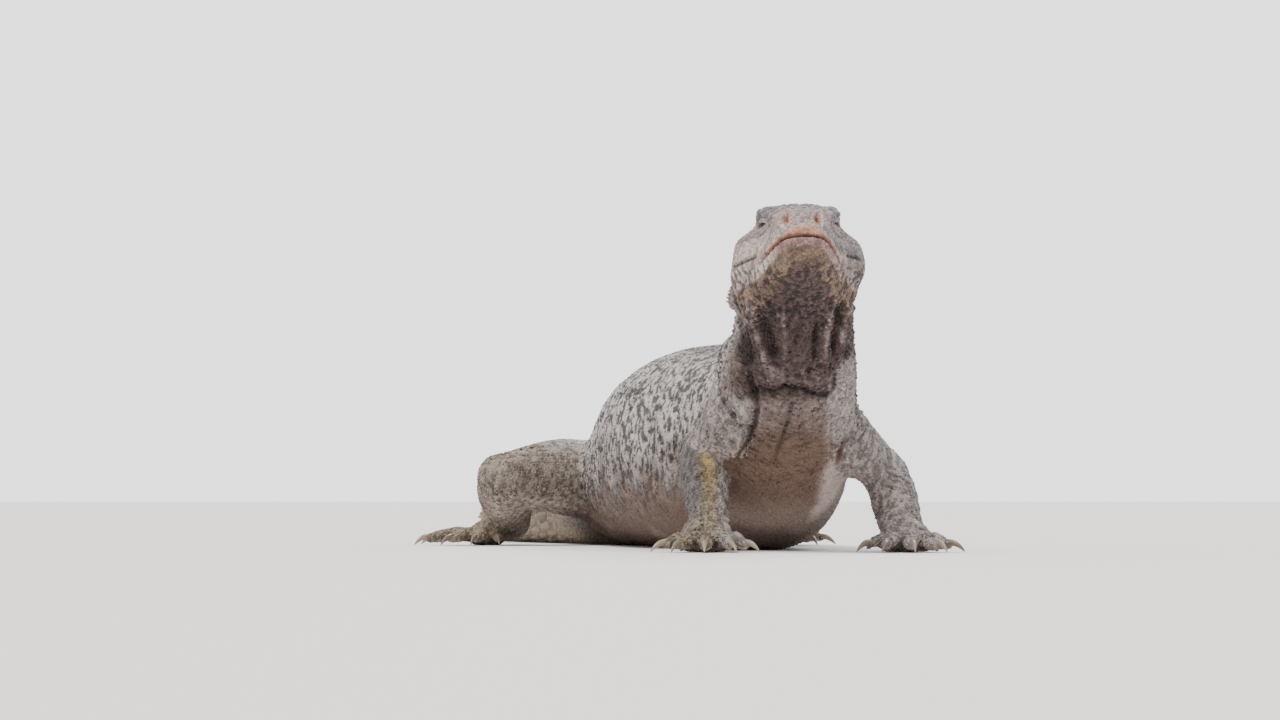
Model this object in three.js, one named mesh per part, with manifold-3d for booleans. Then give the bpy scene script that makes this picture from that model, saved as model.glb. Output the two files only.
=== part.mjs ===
// A life-size spiny-tailed lizard, propped on its forelegs with its head raised, its belly and tail
// lying on the floor and its hind legs folded beside it. Millimetres, +Z up. The head looks along -Y.
import * as THREE from "three";
import { mergeVertices } from "three/addons/utils/BufferGeometryUtils.js";
import Module from "manifold-3d";

const wasm = await Module();
wasm.setup();

// Driving dimensions
const headPitchDeg = 16.5; // the snout points this far above level
const headYawDeg = 2; // and this far towards the lizard's left
const snoutAside = 1.4; // how far the snout's tip stands to the left of the neck's root
const snoutHeight = 123.8; // from the floor to the lip at the tip of the snout
const eyeRadius = 5.2;
const eyeBehindSnout = 23;
const eyeAboveLip = 13.6;
const eyeFromMidline = 10.4;
const lidThickness = 0.95;
const lidOpening = { long: 8.2, high: 4.4 };
const nostril = { behind: 4.8, side: 6.3, above: 8.2, pit: 1.5, rim: 2.5 };
const ear = { behind: 53, side: 24.6, above: -5.4, deep: 4.2, wide: 2.3, high: 6.2, lobules: 6 };
const mouthCorner = 28; // behind the snout's tip
const seam = 0.32; // gap between neighbouring pieces
const whorlCount = 19;
const firstWhorl = 17.5; // along the tail, before the whorls are scaled to fill it
const lastWhorl = 9.5;
const spinesAcross = 9; // on the first whorl
const bodySides = 22;
const headSteps = 2; // rings between two head stations
const limbSides = 10;
const digitSides = 6;
const clawSides = 4;
const beadSides = [10, 6];

// Sections of the body from the skull to the tail's tip: centre, half width, reach up and down.
const bodyRows = [
  { x: 0.5, y: 43, z: 109, wide: 18, up: 16, down: 17, square: 2.1 },
  { x: 0.5, y: 58, z: 101.5, wide: 22.4, up: 21.5, down: 23, square: 2.15 },
  { x: 0.5, y: 71, z: 90.5, wide: 24.4, up: 23.5, down: 26, square: 2.2 },
  { x: 0, y: 85, z: 78, wide: 26.4, up: 24.5, down: 26, square: 2.2 },
  { x: -0.5, y: 102, z: 66, wide: 28, up: 26.5, down: 32, square: 2.2 },
  { x: -3.5, y: 125, z: 55, wide: 31.5, up: 34, down: 41.5, square: 2.3 },
  { x: -9.5, y: 150, z: 48, wide: 37.5, up: 41, down: 47, square: 2.4 },
  { x: -17.5, y: 178, z: 45, wide: 45.5, up: 45, down: 46.2, square: 2.45 },
  { x: -24.5, y: 205, z: 44, wide: 51.5, up: 46.5, down: 45.4, square: 2.4 },
  { x: -32, y: 235, z: 42, wide: 51.5, up: 45, down: 43.4, square: 2.4 },
  { x: -41.5, y: 265, z: 38, wide: 47, up: 40.5, down: 39.4, square: 2.3 },
  { x: -52, y: 292, z: 33, wide: 40, up: 33.5, down: 34.2, square: 2.25 },
  { x: -62, y: 315, z: 28, wide: 33, up: 27.5, down: 28.8, square: 2.2 },
  { x: -71.5, y: 336, z: 23.5, wide: 29, up: 22.5, down: 24.2, square: 2.2 },
  { x: -81, y: 357, z: 20.5, wide: 27.5, up: 19.2, down: 21.2, square: 2.2 },
  { x: -100, y: 400, z: 17.5, wide: 25.5, up: 16.2, down: 18.1, square: 2.2 },
  { x: -117, y: 447, z: 14.8, wide: 22.4, up: 13.6, down: 15.4, square: 2.2 },
  { x: -128, y: 495, z: 12.2, wide: 18.8, up: 11, down: 12.8, square: 2.2 },
  { x: -131, y: 543, z: 9.6, wide: 14.6, up: 8.6, down: 10.1, square: 2.2 },
  { x: -126, y: 588, z: 6.9, wide: 10.2, up: 6.2, down: 7.3, square: 2.1 },
  { x: -117, y: 624, z: 4.2, wide: 5.4, up: 3.6, down: 4.5, square: 2 },
];
const tailStart = 14; // the row where the tail's whorls begin
const neckPartY = 56; // where the neck meets the back of the head
const chestPartRow = 3.55; // along bodyRows, where neck and torso meet
const tailParts = [14, 16.6, 18.6]; // along bodyRows

// Sections of the head, each a half outline from the throat up to the crown: distance behind the
// snout's tip, throat, jaw, mouth, cheek, orbit, brow and crown. Single numbers are heights over the
// lip at the tip, and pairs are distance from the midline and such a height.
const headRows = [
  [0, -3.6, [3.4, -3.1], [4.6, 0], [4.8, 2.6], [4, 4.8], [2.6, 6.2], 6.9],
  [1.5, -5.9, [5.2, -4.9], [6.7, 0], [7.3, 3.4], [6.3, 6.8], [4.6, 8.8], 9.7],
  [5, -8.3, [7, -7], [8.9, -0.2], [9.5, 4], [8.6, 8.4], [6.6, 11.2], 12.4],
  [10, -10.2, [8.8, -8.5], [11, -0.7], [11.5, 4], [10.1, 9.6], [9, 13.4], 15.4],
  [16, -12, [10.5, -10], [13.2, -1.6], [14.2, 3.5], [11.8, 10.2], [13, 16.3], 18.6],
  [22, -13.8, [12.3, -11.3], [15.4, -2.6], [17.5, 3.2], [13.8, 11.2], [16.1, 18.6], 21.4],
  [28, -15.8, [14.2, -12.5], [17.8, -3.6], [21.3, 3], [16, 11.8], [16.2, 18.7], 21.9],
  [34, -17.8, [16.5, -13.8], [20.8, -4.8], [24.6, 2.6], [19.6, 11.4], [15.8, 17.6], 21.2],
  [41, -19.8, [18.4, -15], [23.4, -6], [26.7, 1.8], [22.4, 10.6], [16.6, 16.6], 20.3],
  [48, -21.5, [19.2, -16], [24.4, -7.5], [26.5, 0.5], [22.6, 9.2], [16.3, 15.2], 19],
  [55, -22.5, [18.4, -16.5], [23.2, -8.5], [24.6, -1], [20.4, 7.8], [15, 13.4], 17.2],
  [63, -22, [16.5, -16.5], [20, -9], [21.3, -2], [18.5, 6.5], [14, 12], 14.8],
].map(([at, throat, jaw, mouth, cheek, orbit, brow, crown]) => {
  return { at, throat, jaw, mouth, cheek, orbit, brow, crown };
});
const limbStump = 0.37; // share of an upper limb that belongs to the shoulder or hip
const lip = { out: 0.6, up: 1.5, groove: 0.55 };

// The legs' centre lines, with radii of each half from its root to its far end.
const legs = {
  arm_left: {
    root: [17, 101, 51], bend: [42, 124, 33], end: [46, 93, 9],
    upper: [14.5, 12.8, 10.6, 9.2], lower: [9.2, 9.9, 9.6, 8.8], heading: -84, hand: true,
  },
  arm_right: {
    root: [-19, 98, 55], bend: [-37, 123, 43], end: [-34, 92, 13],
    upper: [14.5, 12.8, 10.6, 9.2], lower: [9.2, 9.9, 9.2, 8.2], heading: -96, hand: true,
  },
  leg_left: {
    root: [-44, 316, 30], bend: [11, 284, 32], end: [-2, 332, 11],
    upper: [18.5, 18.5, 15.5, 12], lower: [12, 13.4, 11, 8.6], heading: -80, hand: false,
  },
  leg_right: {
    root: [-83, 308, 30], bend: [-127, 272, 32], end: [-124, 320, 11],
    upper: [18.5, 18.5, 15.5, 12], lower: [12, 13.4, 11, 8.6], heading: -128, hand: false,
  },
};
// Digits counted from the inner side: turn away from the heading, length and root radius.
const fingers = [
  { turn: 54, long: 9.5, thick: 3.7 },
  { turn: 27, long: 13.5, thick: 3.9 },
  { turn: 3, long: 15.5, thick: 4 },
  { turn: -22, long: 14.5, thick: 3.8 },
  { turn: -50, long: 10, thick: 3.5 },
];
const toes = [
  { turn: 44, long: 11, thick: 3.8 },
  { turn: 22, long: 17, thick: 4.1 },
  { turn: 3, long: 22, thick: 4.2 },
  { turn: -16, long: 26, thick: 4.2 },
  { turn: -52, long: 16, thick: 3.8 },
];
const palm = { hand: { long: 14, wide: 12, high: 7 }, foot: { long: 25, wide: 11.5, high: 7.5 } };
const claw = { long: 8, thick: 1.7 };

const materials = {
  head: new THREE.MeshStandardMaterial({ color: 0xa89f98, roughness: 0.8, metalness: 0 }),
  throat: new THREE.MeshStandardMaterial({ color: 0x5f534f, roughness: 0.85, metalness: 0 }),
  body: new THREE.MeshStandardMaterial({ color: 0x9a948c, roughness: 0.85, metalness: 0 }),
  limb: new THREE.MeshStandardMaterial({ color: 0x8f8c80, roughness: 0.8, metalness: 0 }),
  tail: new THREE.MeshStandardMaterial({ color: 0x8d8270, roughness: 0.75, metalness: 0 }),
  eye: new THREE.MeshStandardMaterial({ color: 0x15110f, roughness: 0.15, metalness: 0 }),
};

const vec = (p) => new THREE.Vector3(...p);
const rad = THREE.MathUtils.degToRad;
const mix = THREE.MathUtils.lerp;
const upright = new THREE.Vector3(0, 0, 1);

// A smooth value between rows of numbers, at a row count that may be a fraction.
function along(rows, key, t) {
  const i = Math.min(rows.length - 2, Math.max(0, Math.floor(t)));
  const f = t - i;
  const read = (k) => {
    const row = rows[Math.min(rows.length - 1, Math.max(0, k))];
    return typeof key === "function" ? key(row) : row[key];
  };
  const [a, b, c, d] = [read(i - 1), read(i), read(i + 1), read(i + 2)];
  return b + 0.5 * f * (c - a + f * (2 * a - 5 * b + 4 * c - d + f * (3 * (b - c) + d - a)));
}

// A closed solid from rings of points, with a fan over each end.
function solidFromRings(rings) {
  const sides = rings[0].length;
  const points = rings.flat();
  const faces = [];
  for (let r = 0; r + 1 < rings.length; r++)
    for (let s = 0; s < sides; s++) {
      const [a, b] = [r * sides + s, r * sides + ((s + 1) % sides)];
      faces.push([a, b, b + sides], [a, b + sides, a + sides]);
    }
  const sum = (ring) => ring.reduce((total, p) => total.add(p), new THREE.Vector3());
  const middle = (ring) => sum(ring).divideScalar(sides);
  points.push(middle(rings[0]), middle(rings[rings.length - 1]));
  const last = (rings.length - 1) * sides;
  for (let s = 0; s < sides; s++) {
    faces.push([points.length - 2, (s + 1) % sides, s]);
    faces.push([points.length - 1, last + s, last + ((s + 1) % sides)]);
  }
  return solidFromFaces(points, faces);
}

function solidFromFaces(points, faces) {
  const build = (list) =>
    new wasm.Manifold(
      new wasm.Mesh({
        numProp: 3,
        vertProperties: new Float32Array(points.flatMap((p) => [p.x, p.y, p.z])),
        triVerts: new Uint32Array(list.flat()),
      }),
    );
  const made = build(faces);
  return made.volume() > 0 ? made : build(faces.map(([a, b, c]) => [a, c, b]));
}

// A solid from one of three.js's own closed geometries.
function solidFrom(geometry) {
  const bare = geometry.index ? geometry.toNonIndexed() : geometry;
  bare.deleteAttribute("normal");
  bare.deleteAttribute("uv");
  const merged = mergeVertices(bare, 1e-4);
  const at = merged.attributes.position;
  const read = (_, i) => new THREE.Vector3().fromBufferAttribute(at, i);
  const points = Array.from({ length: at.count }, read);
  const faces = [];
  const index = merged.index.array;
  for (let i = 0; i < index.length; i += 3)
    if (index[i] !== index[i + 1] && index[i + 1] !== index[i + 2] && index[i] !== index[i + 2])
      faces.push([index[i], index[i + 1], index[i + 2]]);
  return solidFromFaces(points, faces);
}

function geometryOf(solid) {
  const mesh = solid.getMesh();
  return new THREE.BufferGeometry()
    .setAttribute("position", new THREE.BufferAttribute(new Float32Array(mesh.vertProperties), 3))
    .setIndex(new THREE.BufferAttribute(new Uint32Array(mesh.triVerts), 1));
}

// The same solid with its skin moved out along its normals, to cut a neighbour clear of it.
function grown(solid, amount) {
  const geometry = geometryOf(solid);
  geometry.computeVertexNormals();
  const { position, normal } = geometry.attributes;
  const points = Array.from({ length: position.count }, (_, i) =>
    new THREE.Vector3()
      .fromBufferAttribute(position, i)
      .addScaledVector(new THREE.Vector3().fromBufferAttribute(normal, i), amount),
  );
  const index = geometry.index.array;
  const faces = Array.from({ length: index.length / 3 }, (_, i) => [...index.slice(3 * i, 3 * i + 3)]);
  return solidFromFaces(points, faces);
}

const larger = (a, b) => (b.volume() > a.volume() ? b : a);
const largest = (solid) => solid.decompose().reduce(larger);
const joined = (solids) => wasm.Manifold.union(solids);

// Splits a solid by a plane, leaving a seam: [the side the normal points to, the other side].
function parted(solid, normal, point) {
  const n = normal.clone().normalize();
  const offset = n.dot(point);
  const ahead = solid.trimByPlane(n.toArray(), offset + seam / 2);
  const behind = solid.trimByPlane(n.clone().negate().toArray(), -(offset - seam / 2));
  return [ahead, behind];
}

// Body
const lastRow = bodyRows.length - 1;
const bodyCentre = (t) => vec(["x", "y", "z"].map((key) => along(bodyRows, key, t)));

function bodyFrame(t) {
  const reach = 0.05; // rows looked ahead and back
  const heading = bodyCentre(Math.min(t + reach, lastRow)).sub(bodyCentre(Math.max(t - reach, 0)));
  heading.normalize();
  const side = heading.clone().cross(upright).normalize();
  return { centre: bodyCentre(t), heading, side, up: side.clone().cross(heading) };
}

function bodyPoint(t, angle, swell = 1) {
  const { centre, side, up } = bodyFrame(t);
  const power = 2 / along(bodyRows, "square", t);
  const [c, s] = [Math.cos(angle), Math.sin(angle)];
  const tall = along(bodyRows, s > 0 ? "up" : "down", t);
  return centre
    .addScaledVector(side, swell * along(bodyRows, "wide", t) * Math.sign(c) * Math.abs(c) ** power)
    .addScaledVector(up, swell * tall * Math.sign(s) * Math.abs(s) ** power);
}

function bodyRing(t, swell = 1) {
  const angle = (i) => ((i + 0.5) / bodySides) * 2 * Math.PI;
  return Array.from({ length: bodySides }, (_, i) => bodyPoint(t, angle(i), swell));
}

// Where each whorl of the tail ends, along bodyRows. Whorls shorten evenly towards the tip.
function whorlEnds() {
  const length = (i) => mix(firstWhorl, lastWhorl, i / (whorlCount - 1));
  const lengths = Array.from({ length: whorlCount }, (_, i) => length(i));
  const steps = 400;
  const table = [{ t: tailStart, run: 0 }];
  for (let i = 1; i <= steps; i++) {
    const t = mix(tailStart, lastRow, i / steps);
    const before = table[i - 1];
    table.push({ t, run: before.run + bodyCentre(t).distanceTo(bodyCentre(before.t)) });
  }
  const scale = table[steps].run / lengths.reduce((a, b) => a + b);
  let run = 0;
  return lengths.map((whorl) => {
    run += whorl * scale;
    return table.find((row) => row.run >= run - 1e-6)?.t ?? lastRow;
  });
}

// One tail spine: a flattened cone whose root is sunk in the skin.
function spine(t, angle, length, width) {
  const root = bodyPoint(t, angle);
  const { heading, centre } = bodyFrame(t);
  const out = root.clone().sub(centre).normalize();
  const aim = heading.clone().multiplyScalar(0.8).addScaledVector(out, 0.62).normalize();
  const cone = new THREE.ConeGeometry(width / 2, length * 1.5, 5);
  const across = out.clone().cross(aim).normalize();
  const turn = new THREE.Matrix4().makeBasis(across, aim, across.clone().cross(aim));
  turn.setPosition(root.addScaledVector(aim, length * 0.25).addScaledVector(out, -0.4));
  return solidFrom(cone.applyMatrix4(turn));
}

function makeBody() {
  const rings = [];
  for (let t = 0; t < tailStart; t += 0.5) rings.push(bodyRing(t));
  const ends = whorlEnds();
  let start = tailStart;
  const spines = [];
  ends.forEach((end, k) => {
    rings.push(bodyRing(mix(start, end, 0.06), 0.95), bodyRing(mix(start, end, 0.9), 1.03));
    const size = mix(1, 0.5, k / (whorlCount - 1));
    const count = Math.round(mix(spinesAcross, 5, (k / (whorlCount - 1)) ** 2));
    for (let i = 0; i < count; i++) {
      const angle = rad(mix(-22, 202, i / (count - 1)));
      const flank = Math.abs(Math.cos(angle));
      spines.push(spine(mix(start, end, 0.8), angle, (5 + 2.6 * flank) * size, 5.6 * size));
    }
    start = end;
  });
  rings.push(bodyRing(lastRow, 0.7));
  return joined([solidFromRings(rings), ...spines]);
}

// Head, modelled level with the snout's tip at the origin, then pitched up and set in place.
const headPose = new THREE.Matrix4()
  .makeRotationZ(rad(headYawDeg))
  .multiply(new THREE.Matrix4().makeRotationX(rad(-headPitchDeg)))
  .setPosition(snoutAside, 0, snoutHeight);

function headKeys(t) {
  const pair = (key) => [along(headRows, (r) => r[key][0], t), along(headRows, (r) => r[key][1], t)];
  const at = along(headRows, "at", t);
  const fade = THREE.MathUtils.smoothstep(mouthCorner + 4 - at, 0, 4);
  const [mx, mz] = pair("mouth");
  const brow = pair("brow");
  const crown = along(headRows, "crown", t);
  return [
    [0, along(headRows, "throat", t)],
    pair("jaw"),
    [mx - 0.25 + lip.out * fade, mz - lip.up],
    [mx - lip.groove * fade, mz],
    [mx + 0.25 + lip.out * fade, mz + lip.up],
    pair("cheek"),
    pair("orbit"),
    brow,
    [brow[0] * 0.58, mix(brow[1], crown, 0.86)],
    [0, crown],
  ];
}

function headRing(t) {
  const keys = headKeys(t);
  const half = new THREE.CatmullRomCurve3(keys.map(([x, z]) => new THREE.Vector3(x, 0, z)));
  const at = along(headRows, "at", t);
  const steps = [2, 2, 1, 1, 2, 3, 3, 2, 2]; // points between one key and the next
  const right = [];
  steps.forEach((count, k) => {
    for (let i = 0; i < count; i++) right.push(half.getPoint((k + i / count) / (keys.length - 1)));
  });
  right.push(half.getPoint(1));
  const left = right.slice(1, -1).reverse().map((p) => new THREE.Vector3(-p.x, 0, p.z));
  return [...right, ...left].map((p) => p.setY(at));
}

function bead(centre, radii, sides = beadSides[0], tiers = beadSides[1]) {
  const ball = new THREE.SphereGeometry(1, sides, tiers);
  return solidFrom(ball.scale(...radii).translate(...centre));
}

// An almond-shaped prism that opens the lids.
function lidSlit(side) {
  const almond = new THREE.Shape();
  const { long, high } = lidOpening;
  almond.moveTo(-long / 2, 0);
  almond.quadraticCurveTo(0, high, long / 2, 0);
  almond.quadraticCurveTo(0, -high, -long / 2, 0);
  const depth = 12;
  const drawn = { depth, bevelEnabled: false, curveSegments: 5 };
  const slit = new THREE.ExtrudeGeometry(almond, drawn);
  slit.rotateX(Math.PI / 2).rotateZ(Math.PI / 2);
  slit.rotateX(rad(8));
  const inner = side > 0 ? eyeFromMidline : -eyeFromMidline - depth;
  return solidFrom(slit.translate(inner, eyeBehindSnout, eyeAboveLip));
}

function headFeatures(head) {
  let made = head;
  for (const side of [-1, 1]) {
    const eyeAt = [side * eyeFromMidline, eyeBehindSnout, eyeAboveLip];
    const lid = eyeRadius + lidThickness;
    const { rim, pit } = nostril;
    const rimAt = [side * nostril.side, nostril.behind, nostril.above];
    const pitAt = [side * (nostril.side + 2), nostril.behind + 0.3, nostril.above];
    const lobule = (_, i) => {
      const above = ear.above + ear.high * mix(-0.8, 0.8, i / (ear.lobules - 1));
      return bead([side * (ear.side - 0.9), ear.behind - ear.wide - 0.2, above], [1.5, 2.2, 0.8], 6, 4);
    };
    made = joined([
      made,
      bead(eyeAt, [lid, lid * 1.16, lid * 0.98], 14, 8),
      bead(rimAt, [rim * 0.8, rim, rim * 0.95]),
      ...Array.from({ length: ear.lobules }, lobule),
    ]);
    const socket = eyeRadius + seam;
    made = made
      .subtract(bead(eyeAt, [socket, socket, socket], 14, 8))
      .subtract(lidSlit(side))
      .subtract(bead(pitAt, [3.4, pit * 0.8, pit]))
      .subtract(bead([side * (ear.side + 1.4), ear.behind + 0.6, ear.above], [ear.deep, ear.wide, ear.high]));
  }
  return made;
}

// The lower jaw's share of the head: all below the line of the mouth, back to the jaw's corner.
function jawRegion(lift) {
  const shape = new THREE.Shape();
  shape.moveTo(-8, -40);
  shape.lineTo(-8, lift);
  const rows = headRows.filter((r) => r.at <= mouthCorner + 1);
  rows.forEach((r) => shape.lineTo(r.at, r.mouth[1] + lift));
  shape.quadraticCurveTo(mouthCorner + 8 + lift, -7 + lift, mouthCorner + 10 + lift, -40);
  const depth = 80;
  const slab = new THREE.ExtrudeGeometry(shape, { depth, bevelEnabled: false, curveSegments: 6 });
  slab.translate(0, 0, -depth / 2);
  // from the drawing's axes (behind, above, across) to the head's (across, behind, above)
  const [across, behind, above] = [[1, 0, 0], [0, 1, 0], [0, 0, 1]].map(vec);
  return solidFrom(slab.applyMatrix4(new THREE.Matrix4().makeBasis(behind, above, across)));
}

function makeHeadLoft() {
  const rings = [];
  const last = headRows.length - 1;
  for (let i = 0; i <= last * headSteps; i++) rings.push(headRing(i / headSteps));
  return solidFromRings(rings);
}

// Legs
function limb(from, to, radii, bow) {
  const axis = to.clone().sub(from);
  const length = axis.length();
  axis.normalize();
  const side = axis.clone().cross(upright).normalize();
  const up = side.clone().cross(axis);
  const first = radii[0];
  const end = radii[radii.length - 1];
  const rows = [];
  const rounding = [[0.94, 0.35], [0.72, 0.7], [0.38, 0.93]];
  rounding.forEach(([back, size]) => rows.push([-back * first, first * size]));
  radii.forEach((r, i) => rows.push([(length * i) / (radii.length - 1), r]));
  [...rounding].reverse().forEach(([ahead, size]) => rows.push([length + ahead * end, end * size]));
  return solidFromRings(
    rows.map(([run, r]) => {
      const share = THREE.MathUtils.clamp(run / length, 0, 1);
      const lift = bow * Math.sin(Math.PI * share);
      const centre = from.clone().addScaledVector(axis, run).addScaledVector(up, lift);
      return Array.from({ length: limbSides }, (_, i) => {
        const angle = (i / limbSides) * 2 * Math.PI;
        return centre
          .clone()
          .addScaledVector(side, r * Math.cos(angle))
          .addScaledVector(up, r * Math.sin(angle));
      });
    }),
  );
}

// A tapering tube through a few points, with its own radius at each.
function tube(points, radii, sides, flat = 1) {
  return solidFromRings(
    points.map((p, i) => {
      const before = points[Math.max(i - 1, 0)];
      const after = points[Math.min(i + 1, points.length - 1)];
      const ahead = after.clone().sub(before).normalize();
      const side = ahead.clone().cross(upright).normalize();
      const up = side.clone().cross(ahead);
      return Array.from({ length: sides }, (_, k) => {
        const angle = ((k + 0.5) / sides) * 2 * Math.PI;
        return p
          .clone()
          .addScaledVector(side, radii[i] * Math.cos(angle))
          .addScaledVector(up, flat * radii[i] * Math.sin(angle));
      });
    }),
  );
}

function makeHand(leg, side) {
  const wrist = vec(leg.end);
  const size = leg.hand ? palm.hand : palm.foot;
  const heading = rad(leg.heading);
  const ahead = new THREE.Vector3(Math.cos(heading), Math.sin(heading), 0);
  const across = new THREE.Vector3(-ahead.y, ahead.x, 0);
  const low = size.high * 0.62;
  const knuckles = new THREE.Vector3(wrist.x, wrist.y, low).addScaledVector(ahead, size.long);
  const middle = wrist.clone().lerp(knuckles, 0.5);
  const sole = joined([
    tube(
      [wrist, middle, knuckles, knuckles.clone().addScaledVector(ahead, 3.5)],
      [leg.lower[3], size.wide * 0.86, size.wide, size.wide * 0.72],
      10,
      0.62,
    ),
    bead(wrist.toArray(), [leg.lower[3], leg.lower[3], leg.lower[3]]),
  ]);
  const pieces = [sole];
  (leg.hand ? fingers : toes).forEach(({ turn, long, thick }, i) => {
    const aim = heading - rad(turn) * side;
    const way = new THREE.Vector3(Math.cos(aim), Math.sin(aim), 0);
    const spread = mix(-0.72, 0.72, i / 4) * side;
    const forward = -3.5 + 3 * Math.sin((Math.PI * i) / 4);
    const root = knuckles.clone().addScaledVector(across, size.wide * spread).addScaledVector(ahead, forward);
    const step = ([share, height]) => root.clone().addScaledVector(way, long * share).setZ(height);
    // share of the digit's length, height, share of its root's radius
    const digit = [
      [-0.3, low, 0.8],
      [0.05, low, 1],
      [0.38, low + 1.1, 0.97],
      [0.7, low - 0.2, 0.84],
      [0.97, low - 1.3, 0.6],
    ];
    pieces.push(tube(digit.map(step), digit.map((row) => thick * row[2]), digitSides, 0.92));
    const nail = [
      [0.86, 3.4, claw.thick],
      [1, 3.6, claw.thick * 0.95],
      [1 + (claw.long * 0.55) / long, 2.9, claw.thick * 0.62],
      [1 + claw.long / long, 0.5, 0.22],
    ];
    pieces.push(tube(nail.map(step), nail.map((row) => row[2]), clawSides));
  });
  return joined(pieces);
}

function makeLeg(name, leg) {
  const side = name.endsWith("left") ? 1 : -1;
  const [root, bend, end] = [leg.root, leg.bend, leg.end].map(vec);
  const upper = limb(root, bend, leg.upper, leg.hand ? 0 : 2);
  const lower = limb(bend, end, leg.lower, 0);
  const inward = root.clone().sub(bend).normalize();
  const onward = end.clone().sub(bend).normalize();
  const kneeCut = inward.clone().sub(onward);
  // only the bent joint is shared, so each half is trimmed there and keeps its own far end
  const [thigh] = parted(upper, kneeCut, bend);
  const [stump, free] = parted(thigh, inward, root.clone().lerp(bend, limbStump));
  const [, shank] = parted(lower, kneeCut, bend);
  const wristCut = onward.clone().negate();
  const [shin] = parted(shank, wristCut, end.clone().addScaledVector(onward, -2));
  return { stump, thigh: free, shin, paw: makeHand(leg, side) };
}

// Assembly
const group = new THREE.Group();
const solids = new Map();

function keep(name, solid, material) {
  solids.set(name, { solid: largest(solid.trimByPlane([0, 0, 1], 0)), material });
}

const madeLegs = Object.entries(legs).map(([name, leg]) => [name, makeLeg(name, leg)]);
const rest = joined([makeBody(), ...madeLegs.map(([, { stump }]) => stump)]);
const headLoft = makeHeadLoft();
const whole = joined([headLoft.transform(headPose.toArray()), rest]);
const behindEar = new THREE.Vector3(0, neckPartY, 0).applyMatrix4(headPose);
const headAxis = new THREE.Vector3(0, 1, 0).transformDirection(headPose);
const [fromNeck, headBlank] = parted(whole, headAxis, behindEar);
const level = headPose.clone().invert().toArray();
const dressedHead = headFeatures(headBlank.transform(level));
const jawGap = seam / 2;
keep("head", dressedHead.subtract(jawRegion(jawGap)).transform(headPose.toArray()), materials.head);
keep("lower_jaw", dressedHead.intersect(jawRegion(-jawGap)).transform(headPose.toArray()), materials.throat);

const chest = bodyFrame(chestPartRow);
const [fromTorso, neck] = parted(fromNeck, chest.heading, chest.centre);
keep("neck", neck, materials.throat);
let remaining = fromTorso;
["torso", "tail_base", "tail_middle"].forEach((name, i) => {
  const { heading, centre } = bodyFrame(tailParts[i]);
  const [behind, ahead] = parted(remaining, heading, centre);
  keep(name, ahead, name === "torso" ? materials.body : materials.tail);
  remaining = behind;
});
keep("tail_end", remaining, materials.tail);

const trunkBlank = grown(joined([neck, fromTorso]), seam);
const limbNames = {
  arm_left: ["upper_arm_left", "forearm_left", "hand_left"],
  arm_right: ["upper_arm_right", "forearm_right", "hand_right"],
  leg_left: ["thigh_left", "shin_left", "foot_left"],
  leg_right: ["thigh_right", "shin_right", "foot_right"],
};
for (const [name, { thigh, shin, paw }] of madeLegs) {
  const [upperName, lowerName, handName] = limbNames[name];
  const shinClear = shin.subtract(trunkBlank);
  const upperClear = thigh.subtract(trunkBlank).subtract(grown(largest(shinClear), seam));
  keep(upperName, upperClear, materials.limb);
  keep(lowerName, shinClear, materials.limb);
  keep(handName, paw.subtract(trunkBlank).subtract(grown(largest(shinClear), seam)), materials.limb);
}

for (const side of [-1, 1]) {
  const eyeAt = [side * eyeFromMidline, eyeBehindSnout, eyeAboveLip];
  const eyeball = bead(eyeAt, [eyeRadius, eyeRadius, eyeRadius], 14, 8);
  keep(side > 0 ? "eye_left" : "eye_right", eyeball.transform(headPose.toArray()), materials.eye);
}

// The origin is on the floor, under the middle of the whole animal.
const reach = new THREE.Box3();
for (const { solid } of solids.values()) {
  const { min, max } = solid.boundingBox();
  reach.expandByPoint(vec(min)).expandByPoint(vec(max));
}
const middle = reach.getCenter(new THREE.Vector3());
for (const [name, { solid, material }] of solids) {
  const mesh = new THREE.Mesh(geometryOf(solid), material);
  mesh.name = name;
  mesh.position.set(-middle.x, -middle.y, 0);
  group.add(mesh);
}

export default group;
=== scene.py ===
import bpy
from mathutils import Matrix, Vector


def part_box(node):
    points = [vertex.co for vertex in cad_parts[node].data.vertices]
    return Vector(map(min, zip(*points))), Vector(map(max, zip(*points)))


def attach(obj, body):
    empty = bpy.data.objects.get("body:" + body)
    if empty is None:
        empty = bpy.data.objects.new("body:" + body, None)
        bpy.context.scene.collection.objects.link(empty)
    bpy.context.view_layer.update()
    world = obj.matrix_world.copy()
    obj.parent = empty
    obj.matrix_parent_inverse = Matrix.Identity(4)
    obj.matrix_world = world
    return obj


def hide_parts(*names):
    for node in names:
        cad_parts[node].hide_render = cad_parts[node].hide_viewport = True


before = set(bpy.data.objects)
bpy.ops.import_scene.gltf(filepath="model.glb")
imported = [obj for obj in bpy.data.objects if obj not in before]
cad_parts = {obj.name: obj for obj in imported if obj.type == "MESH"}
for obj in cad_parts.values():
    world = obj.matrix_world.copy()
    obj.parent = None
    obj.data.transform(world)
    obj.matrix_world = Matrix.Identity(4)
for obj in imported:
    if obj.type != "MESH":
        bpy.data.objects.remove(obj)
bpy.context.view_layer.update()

import math

import bmesh
import bpy
import numpy as np
from mathutils import Matrix, Vector, noise
from mathutils.bvhtree import BVHTree
from mathutils.kdtree import KDTree

# Shapes are worked out in millimetres from the floor below the snout's tip, and go to the frame's
# metres at the end.
mm = 0.001
rng = np.random.default_rng(11)

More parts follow.
